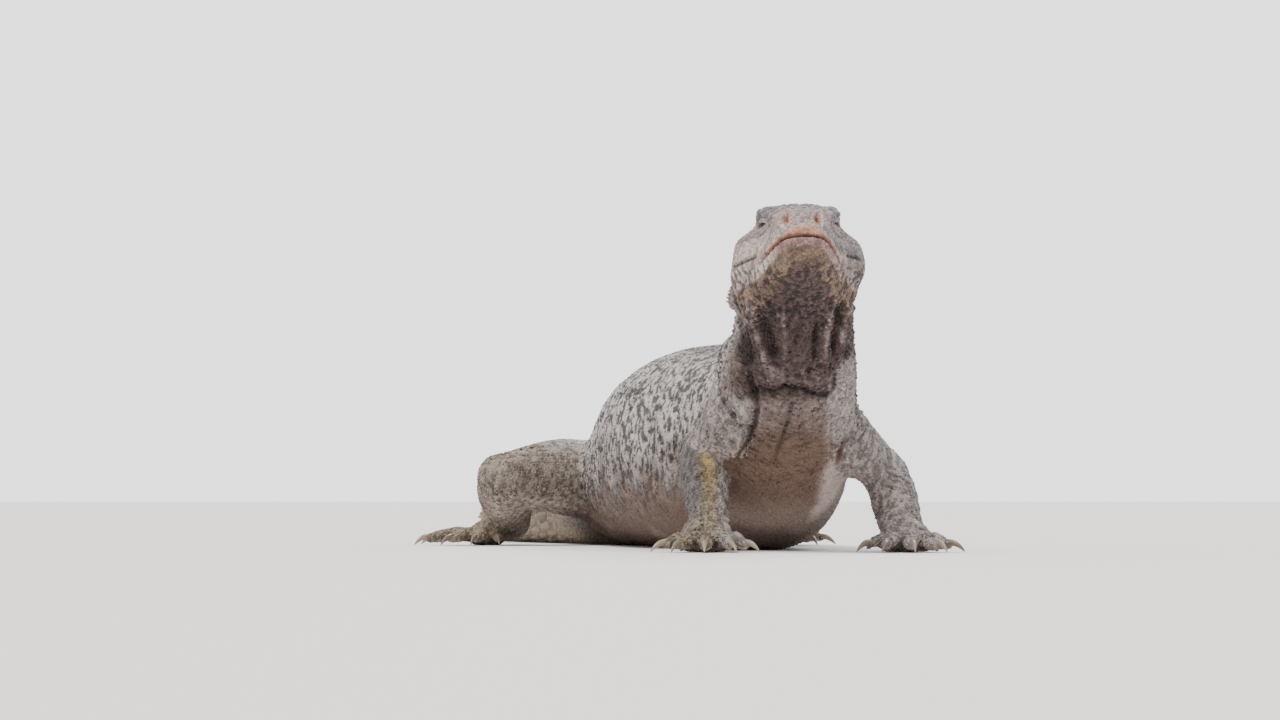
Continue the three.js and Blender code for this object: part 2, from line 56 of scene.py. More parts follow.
pose = {
    "pitch": 16.5,  # degrees that the snout points above level
    "yaw": 2.0,  # and towards the animal's left
    "snoutAside": 1.4,
    "snoutHeight": 123.8,
}
headPose = (
    Matrix.Translation((pose["snoutAside"], 0, pose["snoutHeight"]))
    @ Matrix.Rotation(math.radians(pose["yaw"]), 4, "Z")
    @ Matrix.Rotation(math.radians(-pose["pitch"]), 4, "X")
)
headTurn = np.array(headPose)[:3, :3]
headPlace = np.array(headPose)[:3, 3]


def fromHead(points):  # head axes: x to its left, y back from the snout's tip, z up from the lip
    return np.asarray(points, float) @ headTurn.T + headPlace


def toHead(points):
    return (points - headPlace) @ headTurn


eye = {
    "solid": (10.4, 23.0, 13.6),  # middle of the solid eye
    "place": (10.9, 23.9, 12.9),
    "radius": 4.7,
    "gaze": (0.965, -0.25, 0.0),
    "opening": 3.9,  # half the slit's length
    "gap": 1.15,  # half its height
    "rim": (5.9, 5.0),  # half the lids' length and height
    "hollow": (3.2, 4.6),  # how wide the skin is drawn in behind the ball, fully and at all
}
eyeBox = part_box("eye_left")
eyeSeen = (np.array(eyeBox[0]) + np.array(eyeBox[1])) / 2 / mm
frameShift = eyeSeen - fromHead([eye["solid"]])[0]
frameShift[2] = 0


def inFrame(points):
    return (np.asarray(points, float) + frameShift) * mm


def unit(vectors):
    return vectors / np.maximum(np.linalg.norm(vectors, axis=-1, keepdims=True), 1e-9)


def fade(x, low, high):  # 0 below low, 1 above high
    s = np.clip((x - low) / (high - low), 0, 1)
    return s * s * (3 - 2 * s)


def bump(x, middle, width):
    return np.exp(-(((x - middle) / width) ** 2))


def along(rows, t):  # a smooth value between rows, at fractional row counts
    t = np.atleast_1d(np.asarray(t, float))
    i = np.clip(np.floor(t).astype(int), 0, len(rows) - 2)
    f = (t - i)[:, None]
    a, b, c, d = [rows[np.clip(i + k, 0, len(rows) - 1)] for k in (-1, 0, 1, 2)]
    return b + 0.5 * f * (c - a + f * (2 * a - 5 * b + 4 * c - d + f * (3 * (b - c) + d - a)))


# Camera, floor and light

studio = {
    "focal": 3354.0,  # in pixels of a 1280 wide image
    "sensor": 36.0,
    "clip": (0.05, 120),
    "eyeLevel": 21.5,
    "distance": 1300.0,
    "aside": -62.6,
    "tilt": 2.39,
    "floor": (0.80, 0.775, 0.75),
    "floorReach": 40.0,
    "sky": (0.98, 0.97, 1.0),
    "glow": 1.05,
    "whiter": 1.3,  # how much brighter the background looks than it shines
    "lamps": [  # name, the way its light goes, how wide it looks, strength, colour
        ("key", (0.45, 0.6, -1.44), 26, 3.3, (1.0, 0.97, 0.93)),
        ("fill", (-1.2, 0.85, -0.55), 45, 0.6, (0.93, 0.95, 1.0)),
        ("rim", (-0.5, -1.1, -1.05), 35, 1.5, (1.0, 1.0, 1.0)),
    ],
}


def addObject(name, data):
    made = bpy.data.objects.new(name, data)
    bpy.context.scene.collection.objects.link(made)
    return made


def setInputs(tree, node, values):  # each a plain value or another node's output
    for label, value in values.items():
        if isinstance(value, bpy.types.NodeSocket):
            tree.links.new(value, node.inputs[label])
        else:
            node.inputs[label].default_value = value
    return node


def addNode(tree, kind, values={}):
    return setInputs(tree, tree.nodes.new("ShaderNode" + kind), values)


def mathNode(tree, operation, first, second, clamp=False):
    node = addNode(tree, "Math", {0: first, 1: second})
    node.operation = operation
    node.use_clamp = clamp
    return node.outputs[0]


def newMaterial(name):
    material = bpy.data.materials.new(name)
    material.use_nodes = True
    return material, material.node_tree, material.node_tree.nodes["Principled BSDF"]


def makeStudio():
    camera = bpy.data.cameras.new("camera")
    camera.sensor_width = studio["sensor"]
    camera.lens = studio["sensor"] * studio["focal"] / 1280
    camera.clip_start, camera.clip_end = studio["clip"]
    holder = addObject("camera", camera)
    holder.location = inFrame([studio["aside"], -studio["distance"], studio["eyeLevel"]])
    holder.rotation_euler = (math.radians(90 + studio["tilt"]), 0, 0)
    bpy.context.scene.camera = holder

    reach = studio["floorReach"]
    corners = [(reach * x, reach * y, 0) for x, y in ((-1, -1), (1, -1), (1, 1), (-1, 1))]
    floorMesh = bpy.data.meshes.new("floor")
    floorMesh.from_pydata(corners, [], [(0, 1, 2, 3)])
    floor = addObject("floor", floorMesh)
    ground, tree, shader = newMaterial("studio floor")
    setInputs(tree, shader, {"Base Color": (*studio["floor"], 1), "Roughness": 0.85})
    floorMesh.materials.append(ground)

    world = bpy.data.worlds.new("studio")
    bpy.context.scene.world = world
    world.use_nodes = True
    tree = world.node_tree
    seen = addNode(tree, "LightPath").outputs["Is Camera Ray"]
    glow = mathNode(tree, "ADD", mathNode(tree, "MULTIPLY", seen, studio["whiter"]), studio["glow"])
    setInputs(tree, tree.nodes["Background"], {"Color": (*studio["sky"], 1), "Strength": glow})

    for name, way, wide, strength, colour in studio["lamps"]:
        lamp = bpy.data.lights.new(name, "SUN")
        lamp.angle = math.radians(wide)
        lamp.energy = strength
        lamp.color = colour
        holder = addObject(name, lamp)
        holder.rotation_euler = Vector(way).to_track_quat("-Z", "Y").to_euler()


makeStudio()
print("studio ready")


# Forms: each is a grid of points, rings down its length by places round it

trunk = {
    "rows": np.array([  # centre x y z, half width, reach up, reach down, squareness
        (0.5, 43, 109, 18, 16, 17, 2.1),
        (0.5, 58, 101.5, 22.4, 21.5, 23, 2.15),
        (0.5, 71, 90.5, 24.4, 23.5, 26, 2.2),
        (0, 85, 78, 26.4, 24.5, 26, 2.2),
        (-0.5, 102, 66, 28, 26.5, 32, 2.2),
        (-3.5, 125, 55, 31.5, 34, 41.5, 2.3),
        (-9.5, 150, 48, 37.5, 41, 47, 2.4),
        (-17.5, 178, 45, 45.5, 45, 46.2, 2.45),
        (-24.5, 205, 44, 51.5, 46.5, 45.4, 2.4),
        (-32, 235, 42, 51.5, 45, 43.4, 2.4),
        (-41.5, 265, 38, 47, 40.5, 39.4, 2.3),
        (-52, 292, 33, 40, 33.5, 34.2, 2.25),
        (-62, 315, 28, 33, 27.5, 28.8, 2.2),
        (-71.5, 336, 23.5, 29, 22.5, 24.2, 2.2),
        (-81, 357, 20.5, 27.5, 19.2, 21.2, 2.2),
        (-100, 400, 17.5, 25.5, 16.2, 18.1, 2.2),
        (-117, 447, 14.8, 22.4, 13.6, 15.4, 2.2),
        (-128, 495, 12.2, 18.8, 11, 12.8, 2.2),
        (-131, 543, 9.6, 14.6, 8.6, 10.1, 2.2),
        (-126, 588, 6.9, 10.2, 6.2, 7.3, 2.1),
        (-117, 624, 4.2, 5.4, 3.6, 4.5, 2),
    ]),
    "tailStart": 14.0,
    "whorls": 19,
    "firstWhorl": 17.5,
    "lastWhorl": 9.5,
}
lastRow = len(trunk["rows"]) - 1


def trunkFrames(t):
    t = np.atleast_1d(t)
    rows = trunk["rows"]
    ahead = along(rows, np.minimum(t + 0.05, lastRow))[:, :3]
    heading = unit(ahead - along(rows, np.maximum(t - 0.05, 0))[:, :3])
    side = unit(np.cross(heading, (0, 0, 1)))
    return along(rows, t)[:, :3], heading, side, np.cross(side, heading)


def trunkPoints(t, angle):  # angle 0 is the animal's left, 90 degrees its back
    values = along(trunk["rows"], t)
    centre, _, side, up = trunkFrames(t)
    power = (2 / values[:, 6])[:, None]
    c, s = np.cos(angle), np.sin(angle)
    wide = values[:, 3:4]
    tall = np.where(s > 0, values[:, 4:5], values[:, 5:6])
    across = (wide * np.sign(c) * np.abs(c) ** power)[:, :, None] * side[:, None]
    return centre[:, None] + across + (tall * np.sign(s) * np.abs(s) ** power)[:, :, None] * up[:, None]


def trunkGrid(first, last, step, sides):
    t = np.arange(first, last + 1e-6, step)
    angle = np.tile((np.arange(sides) + 0.5) / sides * 2 * np.pi - np.pi / 2, (len(t), 1))
    return trunkPoints(t, angle)


head = {
    "rows": np.array([  # behind the snout, throat, jaw, mouth, cheek, orbit and brow as pairs, crown
        (0, -3.6, 3.4, -3.1, 4.6, 0, 4.8, 2.6, 4, 4.8, 2.6, 6.2, 6.9),
        (1.5, -5.9, 5.2, -4.9, 6.7, 0, 7.3, 3.4, 6.3, 6.8, 4.6, 8.8, 9.7),
        (5, -8.3, 7, -7, 8.9, -0.2, 9.5, 4, 8.6, 8.4, 6.6, 11.2, 12.4),
        (10, -10.2, 8.8, -8.5, 11, -0.7, 11.5, 4, 10.1, 9.6, 9, 13.4, 15.4),
        (16, -12, 10.5, -10, 13.2, -1.6, 14.2, 3.5, 11.8, 10.2, 13, 16.3, 18.6),
        (22, -13.8, 12.3, -11.3, 15.4, -2.6, 17.5, 3.2, 13.8, 11.2, 16.1, 18.6, 21.4),
        (28, -15.8, 14.2, -12.5, 17.8, -3.6, 21.3, 3, 16.8, 11.8, 16.2, 18.7, 21.9),
        (34, -17.8, 16.5, -13.8, 20.8, -4.8, 24.6, 2.6, 21.2, 11.4, 15.8, 17.6, 21.2),
        (41, -19.8, 18.4, -15, 23.4, -6, 26.7, 1.8, 23.4, 10.6, 16.6, 16.6, 20.3),
        (48, -21.5, 19.2, -16, 24.4, -7.5, 26.5, 0.5, 22.6, 9.2, 16.3, 15.2, 19),
        (55, -22.5, 18.4, -16.5, 23.2, -8.5, 24.6, -1, 20.4, 7.8, 15, 13.4, 17.2),
        (63, -22, 16.5, -16.5, 20, -9, 21.3, -2, 18.5, 6.5, 14, 12, 14.8),
    ]),
    "mouthCorner": 21.5,
}
mouthRows = head["rows"][:, [0, 4, 5]]


def mouthHeight(behind):
    return np.interp(behind, mouthRows[:, 0], mouthRows[:, 2])


def headGrid(step=0.12, share=6):
    rings = []
    for row in along(head["rows"], np.arange(0, len(head["rows"]) - 1 + 1e-6, step)):
        at, throat, jx, jz, mx, mz, cx, cz, ox, oz, bx, bz, crown = row
        half = [(0, throat), (jx, jz), (mx, mz), (cx, cz), (ox, oz), (bx, bz)]
        half += [(bx * 0.58, bz + (crown - bz) * 0.86), (0, crown)]
        loop = np.array(half + [(-x, z) for x, z in half[-2:0:-1]])
        wrapped = np.vstack([loop[-2:], loop, loop[:3]])
        t = np.arange(2, 2 + len(loop), 1 / share)
        ring = along(wrapped, t)
        rings.append(np.column_stack([ring[:, 0], np.full(len(ring), at), ring[:, 1]]))
    front = rings[0]
    middle = front.mean(0)
    for back, size in ((0.35, 0.86), (0.7, 0.6)):  # rounds the snout's tip
        cap = middle + (front - middle) * size
        cap[:, 1] = -back
        rings.insert(0, cap)
    return fromHead(np.array(rings))


def limbGrid(start, end, radii, bow, sides=28, rings=36):
    start, end = np.array(start, float), np.array(end, float)
    length = np.linalg.norm(end - start)
    axis = (end - start) / length
    side = unit(np.cross(axis, (0, 0, 1)))
    up = np.cross(side, axis)
    run = np.linspace(-0.97 * radii[0], length + 0.97 * radii[-1], rings)
    share = np.clip(run / length, 0, 1)
    thick = along(np.array(radii, float)[:, None], share * (len(radii) - 1))[:, 0]
    over = np.maximum(-run / radii[0], (run - length) / radii[-1]).clip(0, 1)
    thick = thick * np.sqrt(1 - over**2)
    centre = start + run[:, None] * axis + (bow * np.sin(np.pi * share))[:, None] * up
    return ringsRound(centre, thick, side, up, sides)


def ringsRound(centre, thick, side, up, sides, flat=1.0):
    angle = (np.arange(sides) + 0.5) / sides * 2 * np.pi - np.pi / 2
    wide = np.cos(angle)[None, :, None] * np.broadcast_to(side, centre.shape)[:, None]
    tall = np.sin(angle)[None, :, None] * np.broadcast_to(up, centre.shape)[:, None]
    return centre[:, None] + thick[:, None, None] * (wide + flat * tall)


def tubeGrid(points, radii, sides, flat=1.0, rings=30, rounded=True):
    t = np.linspace(0, len(points) - 1, rings)
    centre = along(np.array(points, float), t)
    thick = along(np.array(radii, float)[:, None], t)[:, 0]
    heading = unit(np.gradient(centre, axis=0))
    side = unit(np.cross(heading, (0, 0, 1)))
    up = np.cross(side, heading)
    if rounded:  # a round end past the last point
        extra = np.array([0.45, 0.75, 0.95])
        centre = np.vstack([centre, centre[-1] + extra[:, None] * thick[-1] * heading[-1]])
        thick = np.append(thick, thick[-1] * np.sqrt(1 - extra**2))
        side = np.vstack([side, np.tile(side[-1], (3, 1))])
        up = np.vstack([up, np.tile(up[-1], (3, 1))])
    return ringsRound(centre, thick, side, up, sides, flat)


legs = {  # centre lines, and radii of each half from its root to its far end
    "arm_left": {
        "root": (17, 101, 51), "bend": (42, 124, 33), "end": (46, 93, 9),
        "upper": (14.5, 12.8, 10.6, 9.2), "lower": (9.2, 9.9, 9.6, 8.8), "heading": -84, "hand": True,
    },
    "arm_right": {
        "root": (-19, 98, 55), "bend": (-37, 123, 43), "end": (-34, 92, 13),
        "upper": (14.5, 12.8, 10.6, 9.2), "lower": (9.2, 9.9, 9.2, 8.2), "heading": -96, "hand": True,
    },
    "leg_left": {
        "root": (-44, 316, 30), "bend": (11, 284, 32), "end": (-2, 332, 11),
        "upper": (18.5, 18.5, 15.5, 12), "lower": (12, 13.4, 11, 8.6), "heading": -80, "hand": False,
    },
    "leg_right": {
        "root": (-83, 308, 30), "bend": (-127, 272, 32), "end": (-124, 320, 11),
        "upper": (18.5, 18.5, 15.5, 12), "lower": (12, 13.4, 11, 8.6), "heading": -128, "hand": False,
    },
}
digits = {  # counted from the inner side: turn away from the heading, length, root radius
    True: ((54, 9.5, 3.7), (27, 13.5, 3.9), (3, 15.5, 4), (-22, 14.5, 3.8), (-50, 10, 3.5)),
    False: ((44, 11, 3.8), (22, 17, 4.1), (3, 22, 4.2), (-16, 26, 4.2), (-52, 16, 3.8)),
}
palms = {True: (14, 12, 7), False: (25, 11.5, 7.5)}  # long, half width, high
digitTaper = (0.8, 0.9, 0.82, 0.76, 0.6)
claw = {"long": 7.6, "thick": 1.3, "taper": (0.8, 0.95, 0.82, 0.5, 0.12)}


def pawForms(name, leg):
    side = 1 if name.endswith("left") else -1
    wrist = np.array(leg["end"], float)
    long, wide, high = palms[leg["hand"]]
    heading = math.radians(leg["heading"])
    ahead = np.array([math.cos(heading), math.sin(heading), 0])
    across = np.array([-ahead[1], ahead[0], 0])
    low = high * 0.62  # the height that the digits leave the palm at
    knuckles = np.array([wrist[0], wrist[1], low]) + ahead * long
    middle = (wrist + knuckles) / 2
    ankle = leg["lower"][3]
    line = [wrist - ahead * ankle * 0.4, wrist, middle, knuckles - ahead * 5, knuckles - ahead * 2.5]
    girth = [ankle * 0.8, ankle, wide * 0.86, wide * 0.92, wide * 0.6]
    speck = ahead * 0.01
    made = [
        ("palm", tubeGrid(line, girth, 30, 0.6, 34)),
        ("wrist", limbGrid(wrist - speck, wrist + speck, (ankle, ankle), 0, 24, 20)),
    ]
    nails = []
    for i, (turn, length, thick) in enumerate(digits[leg["hand"]]):
        aim = heading - math.radians(turn) * side
        way = np.array([math.cos(aim), math.sin(aim), 0])
        spread = (-0.72 + 1.44 * i / 4) * side
        root = knuckles + across * wide * spread + ahead * (-3.5 + 3 * math.sin(math.pi * i / 4))

        def steps(shares):  # shares of the digit's length, each with its height
            return [(*(root + way * length * share)[:2], height) for share, height in shares]

        line = steps([(-0.3, low), (0.05, low), (0.38, low + 1.1), (0.7, low - 0.2), (0.97, low - 1.1)])
        made.append(("digit", tubeGrid(line, [thick * k for k in digitTaper], 20, 0.92, 26)))
        tip = claw["long"] / length
        nail = [(0.8, 3.6), (1, 4.1), (1 + tip * 0.4, 3.7), (1 + tip * 0.75, 2.2), (1 + tip, 0.4)]
        nails.append((steps(nail), [claw["thick"] * k for k in claw["taper"]]))
    return made, nails


forms = [("trunk", trunkGrid(0, lastRow, 0.05, 96)), ("head", headGrid())]
nailLines = {}
for name, leg in legs.items():
    forms.append(("upper", limbGrid(leg["root"], leg["bend"], leg["upper"], 0 if leg["hand"] else 2)))
    forms.append(("lower", limbGrid(leg["bend"], leg["end"], leg["lower"], 0)))
    pawGrids, nailLines[name] = pawForms(name, leg)
    forms += pawGrids
print("forms laid out:", len(forms))


# Skin: the forms fused, then folded, wrinkled and opened

skinMaking = {
    "voxel": 1.3,
    "headBack": 60.0,  # the finer part reaches this far behind the snout
    "chestBack": 104.0,  # and this far over the throat and chest
    "evenOut": (0.6, -0.45),  # smoothing steps that hardly shrink
    "soften": (0.5,),
    "floorGap": 0.25,
    "mostTriangles": 196000,
}


def linkMesh(name, points, faces):
    mesh = bpy.data.meshes.new(name)
    mesh.from_pydata(np.asarray(points).tolist(), [], faces)
    mesh.validate()
    return addObject(name, mesh)


def shadeSmooth(mesh):
    mesh.polygons.foreach_set("use_smooth", np.ones(len(mesh.polygons), bool))


def gridFaces(rings, sides, start, capped=True):
    r, s = np.meshgrid(np.arange(rings - 1), np.arange(sides), indexing="ij")
    a = start + r * sides + s
    b = start + r * sides + (s + 1) % sides
    faces = np.stack([a, b, b + sides, a + sides], -1).reshape(-1, 4).tolist()
    if capped:
        faces.append([start + k for k in range(sides)][::-1])
        faces.append([start + (rings - 1) * sides + k for k in range(sides)])
    return faces


def fuseForms():
    points, faces = [], []
    start = 0
    for _, grid in forms:
        rings, sides, _ = grid.shape
        quads = gridFaces(rings, sides, start)
        first, second = grid[rings // 2], grid[rings // 2 + 1]
        outward = np.cross(second[0] - first[0], first[1] - first[0]) @ (first[0] - first.mean(0))
        faces += quads if outward < 0 else [q[::-1] for q in quads]
        points.append(grid.reshape(-1, 3))
        start += rings * sides
    joined = linkMesh("blank", np.vstack(points), faces)
    remesh = joined.modifiers.new("fuse", "REMESH")
    remesh.mode = "VOXEL"
    remesh.voxel_size = skinMaking["voxel"]
    graph = bpy.context.evaluated_depsgraph_get()
    fused = bpy.data.meshes.new_from_object(joined.evaluated_get(graph))
    bpy.data.objects.remove(joined)
    return fused


def readAll(items, name, width, kind=float):
    found = np.empty(len(items) * width, kind)
    items.foreach_get(name, found)
    return found.reshape(-1, width)


def coordinates(mesh):
    return readAll(mesh.vertices, "co", 3)


def normalsOf(mesh):
    return readAll(mesh.vertex_normals, "vector", 3)


def smoothed(points, edges, rounds, steps, weight):  # moves points towards their neighbours' mean
    a, b = edges[:, 0], edges[:, 1]
    count = len(points)
    share = np.maximum(np.bincount(a, minlength=count) + np.bincount(b, minlength=count), 1)[:, None]
    for k in range(rounds):
        total = np.stack([
            np.bincount(a, points[b, i], count) + np.bincount(b, points[a, i], count) for i in range(3)
        ], 1)
        points = points + steps[k % len(steps)] * weight[:, None] * (total / share - points)
    return points


def refine(mesh, chosen):  # halves the faces whose middle is chosen
    work = bmesh.new()
    work.from_mesh(mesh)
    work.verts.ensure_lookup_table()
    edges = {e for f in work.faces if chosen(f.calc_center_median()) for e in f.edges}
    bmesh.ops.subdivide_edges(work, edges=list(edges), cuts=1, use_grid_fill=True)
    work.to_mesh(mesh)
    work.free()


def inHead(place):
    local = toHead(np.array(place))
    onChest = place[1] < skinMaking["chestBack"] and 28 < place[2] < 112 and abs(place[0]) < 31
    return local[1] < skinMaking["headBack"] or onChest


def aroundMouth(place):
    x, y, z = toHead(np.array(place))
    nearLip = abs(z - mouthHeight(y)) < 3.2 and y < 36 and abs(x) > 3 or y < 3
    nearNostril = y < 9 and 3 < z < 12
    return nearLip or nearNostril


def trunkPlace(points):  # (t, angle) of points round the body's centre line
    samples = np.linspace(0, lastRow, 500)
    centre, heading, side, up = trunkFrames(samples)
    nearest = np.empty(len(points), int)
    chunk = 20000
    for k in range(0, len(points), chunk):
        part = points[k : k + chunk]
        gap = (part**2).sum(1)[:, None] - 2 * part @ centre.T + (centre**2).sum(1)
        nearest[k : k + chunk] = gap.argmin(1)
    off = points - centre[nearest]
    angle = np.arctan2((off * up[nearest]).sum(1), (off * side[nearest]).sum(1))
    return samples[nearest], angle


def runAlong(line):  # the length so far at each of its points
    return np.concatenate([[0], np.cumsum(np.linalg.norm(np.diff(line, axis=0), axis=1))])


def toLine(points, line):  # distance from a line of points, and the share of its length
    line = np.array(line, float)
    runs = runAlong(line)
    runs = runs / max(runs[-1], 1e-9)
    best = np.full(len(points), 1e9)
    share = np.zeros(len(points))
    for k in range(len(line) - 1):
        a, b = line[k], line[k + 1]
        d = b - a
        s = np.clip(((points - a) @ d) / (d @ d), 0, 1)
        gap = np.linalg.norm(points - (a + s[:, None] * d), axis=1)
        closer = gap < best
        best = np.where(closer, gap, best)
        share = np.where(closer, runs[k] + s * (runs[k + 1] - runs[k]), share)
    return best, share


frontFolds = [  # seen from the front: line of (x, z), height (grooves are negative), half width
    ([(-20.2, 104), (-17.8, 95), (-15.1, 87), (-13.3, 80.4), (-10.9, 73.5)], 3.2, 1.7),
    ([(-25, 99), (-22.4, 92), (-19.2, 84), (-17.2, 76)], -4.2, 2.1),
    ([(-14, 95), (-10.8, 85), (-8.6, 77)], -3.4, 2.4),
    ([(-6, 98), (-4.4, 84.6), (-4.8, 76)], 1.5, 1.2),
    ([(-0.5, 92), (0.5, 84), (0, 77)], -1.3, 1.6),
    ([(4.5, 93), (4, 84), (4.4, 77)], 0.8, 1.2),
    ([(13.5, 99), (12.2, 89.8), (12.4, 76)], 2.5, 1.5),
    ([(8.5, 94), (7.8, 84), (8.2, 77)], -2.2, 2.0),
    ([(17.4, 98), (16, 88), (15.2, 78)], -3.4, 1.6),
    ([(22.6, 101), (20, 91.2), (17.4, 82)], 2.9, 1.5),
    ([(25.6, 96), (23.6, 86), (21, 77)], -3.4, 1.7),
    ([(-17.4, 69.5), (-10.2, 65.9), (-4, 67.3), (-0.2, 66.9), (3.3, 66.9), (8.7, 64.4),
      (13.2, 63.8), (16.4, 66.9), (16.2, 75)], -3.3, 1.2),
    ([(-18, 74), (-14, 70.4), (-10.4, 68.6), (-4, 70.2), (-0.2, 69.6), (3.3, 69.6),
      (8.7, 67.2), (13, 67)], 1.9, 1.3),
    ([(-23.1, 89), (-20.5, 78.9), (-17.6, 70.2), (-16.2, 60)], -2.6, 1.5),
    ([(-19.6, 76), (-18.4, 70), (-16.4, 64)], 1.5, 1.0),
    ([(-19.8, 73.1), (-16.2, 66), (-14.6, 59.6), (-15.6, 52.3), (-17.4, 46.9),
      (-20.6, 40.2), (-22.3, 34.8)], -3.2, 1.3),
    ([(-18.4, 64), (-18.6, 57), (-20.5, 49), (-23, 41)], 1.7, 1.5),
    ([(-29.5, 65.5), (-25.9, 60.7), (-21.5, 55.5), (-17.6, 51), (-16.5, 46)], -3.2, 1.3),
    ([(-24.5, 63.5), (-20, 58), (-17, 54)], 1.6, 1.3),
    ([(-0.2, 63), (-0.7, 58.1), (-2.1, 53.7), (-4.4, 46.5), (-7.7, 37)], -2.2, 1.3),
    ([(3.2, 62), (2.4, 56), (1, 50)], 0.8, 1.5),
    ([(23.8, 49), (20.6, 41.5), (19.6, 34)], -2.8, 1.5),
    ([(16.8, 58), (16.2, 50), (16.8, 42)], -1.3, 1.2),
    ([(-12.4, 96), (-8.5, 94.6), (-5, 97)], 1.1, 0.8),
    ([(-25, 114.4), (-20.7, 116.0), (-17, 117)], -1.1, 0.7),
    ([(19.4, 118), (22, 117.8), (25, 117.2)], -1.1, 0.7),
    ([(-25.4, 111), (-23.2, 101), (-20.6, 94)], 1.2, 1.5),
]
throatSacs = [  # x, z, how far each swells, radius
    (-8.2, 72.4, 2.8, 4.4),
    (9.5, 71.2, 2.8, 4.2),
    (1.2, 74.0, 1.2, 3.6),
]


def ripple(points, size, seed, stretch=(1, 1, 1)):
    spread = points / (np.array(stretch) * size) + seed * 17.3
    return np.array([noise.noise(p) for p in spread.tolist()])


def frontOf(points, outward):  # 1 on what faces the front of the throat and chest
    return fade(-outward[:, 1], 0.0, 0.28) * fade(-points[:, 1], -128, -116)


def foldThroat(points, outward):
    facing = frontOf(points, outward)
    flat = points[:, [0, 2]]
    swell = np.zeros(len(points))
    for line, height, width in frontFolds:
        gap, share = toLine(flat, line)
        ends = fade(share, -0.001, 0.15) * (1 - fade(share, 0.82, 1.001))
        swell += height * np.exp(-((gap / width) ** 2)) * (0.2 + 0.8 * ends) * facing
    for x, z, height, radius in throatSacs:
        gap = np.hypot(flat[:, 0] - x, flat[:, 1] - z)
        swell += height * np.exp(-((gap / radius) ** 2)) * facing
    slack = facing * fade(flat[:, 1], 64, 72) * (1 - fade(flat[:, 1], 98, 106))
    creases = ripple(points, 4.6, 41, (0.55, 0.55, 2.4))
    return swell + slack * (1.5 * creases - 1.1 * np.abs(ripple(points, 3.2, 42, (0.6, 0.6, 1.6))))


def wrinkleBody(points, t, angle):
    back = np.sin(angle)
    neck = fade(t, 1.0, 2.0) * (1 - fade(t, 4.2, 5.2))
    flank = fade(t, 4.4, 5.6) * (1 - fade(t, 11.0, 12.5)) * fade(-np.abs(back), -0.85, -0.35)
    around = angle * 9.0
    wander = ripple(points, 26, 1) * 0.35
    rings = ripple(np.column_stack([(t + wander) * 13.0, around * 0.35, np.zeros(len(t))]), 1.0, 2)
    slack = -np.abs(rings) * 2.2 + 0.45
    swell = neck * slack * 1.5 * fade(-back, -0.75, 0.1) + flank * slack * 0.85
    broad = ripple(points, 22, 3)
    return swell + broad * (0.5 * neck + 0.7 * flank)


nostril = {"side": 6.1, "aside": 0.9, "behind": 4.4, "high": 8.4, "wide": 1.1, "tall": 1.85}
ear = {"behind": 53.5, "above": -4.6, "wide": 2.6, "tall": 6.8, "deep": 4.8}
lipForms = [  # height, middle over the mouth's line, half width
    (-1.25, 0, 0.45),
    (0.7, 1.3, 0.9),
    (0.65, -1.6, 1.15),
    (-0.4, -3.6, 1.1),
]
sideForms = [  # height left and right, middle and half width back and up, where it starts and is full
    (0.7, 3.4, 57.9, 1.5, -4.6, 7.0, 14, 18),  # the ear's hind rim
    (0.9, 0.9, 23.5, 9, 18.6, 2.3, 9, 13),  # the brow's shelf
    (-1.0, -1.0, 22, 8, 13, 3.2, 9, 12),  # the hollow round the eye
    (-1.4, -2.2, 27.5, 4.5, 14.2, 2.4, 11, 15),  # the notch behind it
    (1.2, -0.8, 40, 12, 5, 7, 14, 18),  # the middle of the cheek
]
shoulderFolds = [  # height, middle and half width along the trunk's rows and up from the floor
    (4.4, 3.3, 0.42, 84, 10),
    (2.4, 3.5, 0.35, 66, 13),
]
elbowWeb = {"place": (-27.5, 112, 41), "size": (6, 12, 11), "swell": 3.2}  # inside the right elbow


def fromNostril(local, side):  # distance from a nostril's middle, in its own half widths
    x, y, z = local.T
    across = (x + nostril["aside"] - side * nostril["side"]) / nostril["wide"]
    off = np.hypot(across, (z - nostril["high"] - (y - nostril["behind"]) * 0.25) / nostril["tall"])
    return np.where((y < 10) & (x * side > 2), off, 9)


def fromEar(local, side):
    x, y, z = local.T
    off = np.hypot((y - ear["behind"]) / ear["wide"], (z - ear["above"]) / ear["tall"])
    return np.where(x * side > 14, off, 9)


def shapeHead(points, normals, local):
    x, y, z = local.T
    swell = np.zeros(len(points))
    lift = z - mouthHeight(y)
    lips = 1 - fade(y, head["mouthCorner"] - 3, head["mouthCorner"] + 1.5)
    outside = fade(np.abs(normals @ headTurn[:, 0]) + fade(3.5 - y, 0, 2), 0.25, 0.6)
    for height, middle, width in lipForms:
        swell += height * bump(lift, middle, width) * lips * outside
    swell -= 0.35 * bump(lift, 4.2, 1.2) * lips * outside * fade(y, 6, 12)
    for side in (-1, 1):
        hole = fromNostril(local, side)
        swell += 0.75 * bump(hole, 1.75, 0.7)
        swell -= 1.5 * bump(hole, 0, 0.85)
        swell -= ear["deep"] * (1 - fade(fromEar(local, side), 0.6, 1.1))
        for left, right, behind, deep, above, tall, start, full in sideForms:
            form = bump(y, behind, deep) * bump(z, above, tall) * fade(x * side, start, full)
            swell += (left if side > 0 else right) * form
        jowl = bump(y, 41, 7) * fade(-z, -1, 6) * fade(x * side, 14, 18)
        swell -= (1.5 if side > 0 else 2.7) * jowl
    swell += 1.9 * bump(y, 41, 8) * bump(z, 11.5, 4.5) * fade(np.abs(x), 13, 17)  # the full upper cheek
    swell += 1.5 * bump(x, 0, 8) * bump(y, 32, 14) * fade(z, 15, 19)  # the crown
    swell -= 0.6 * bump(x, 0, 3.0) * bump(y, 13, 7) * fade(z, 8, 12)  # the snout's shallow trough
    return swell


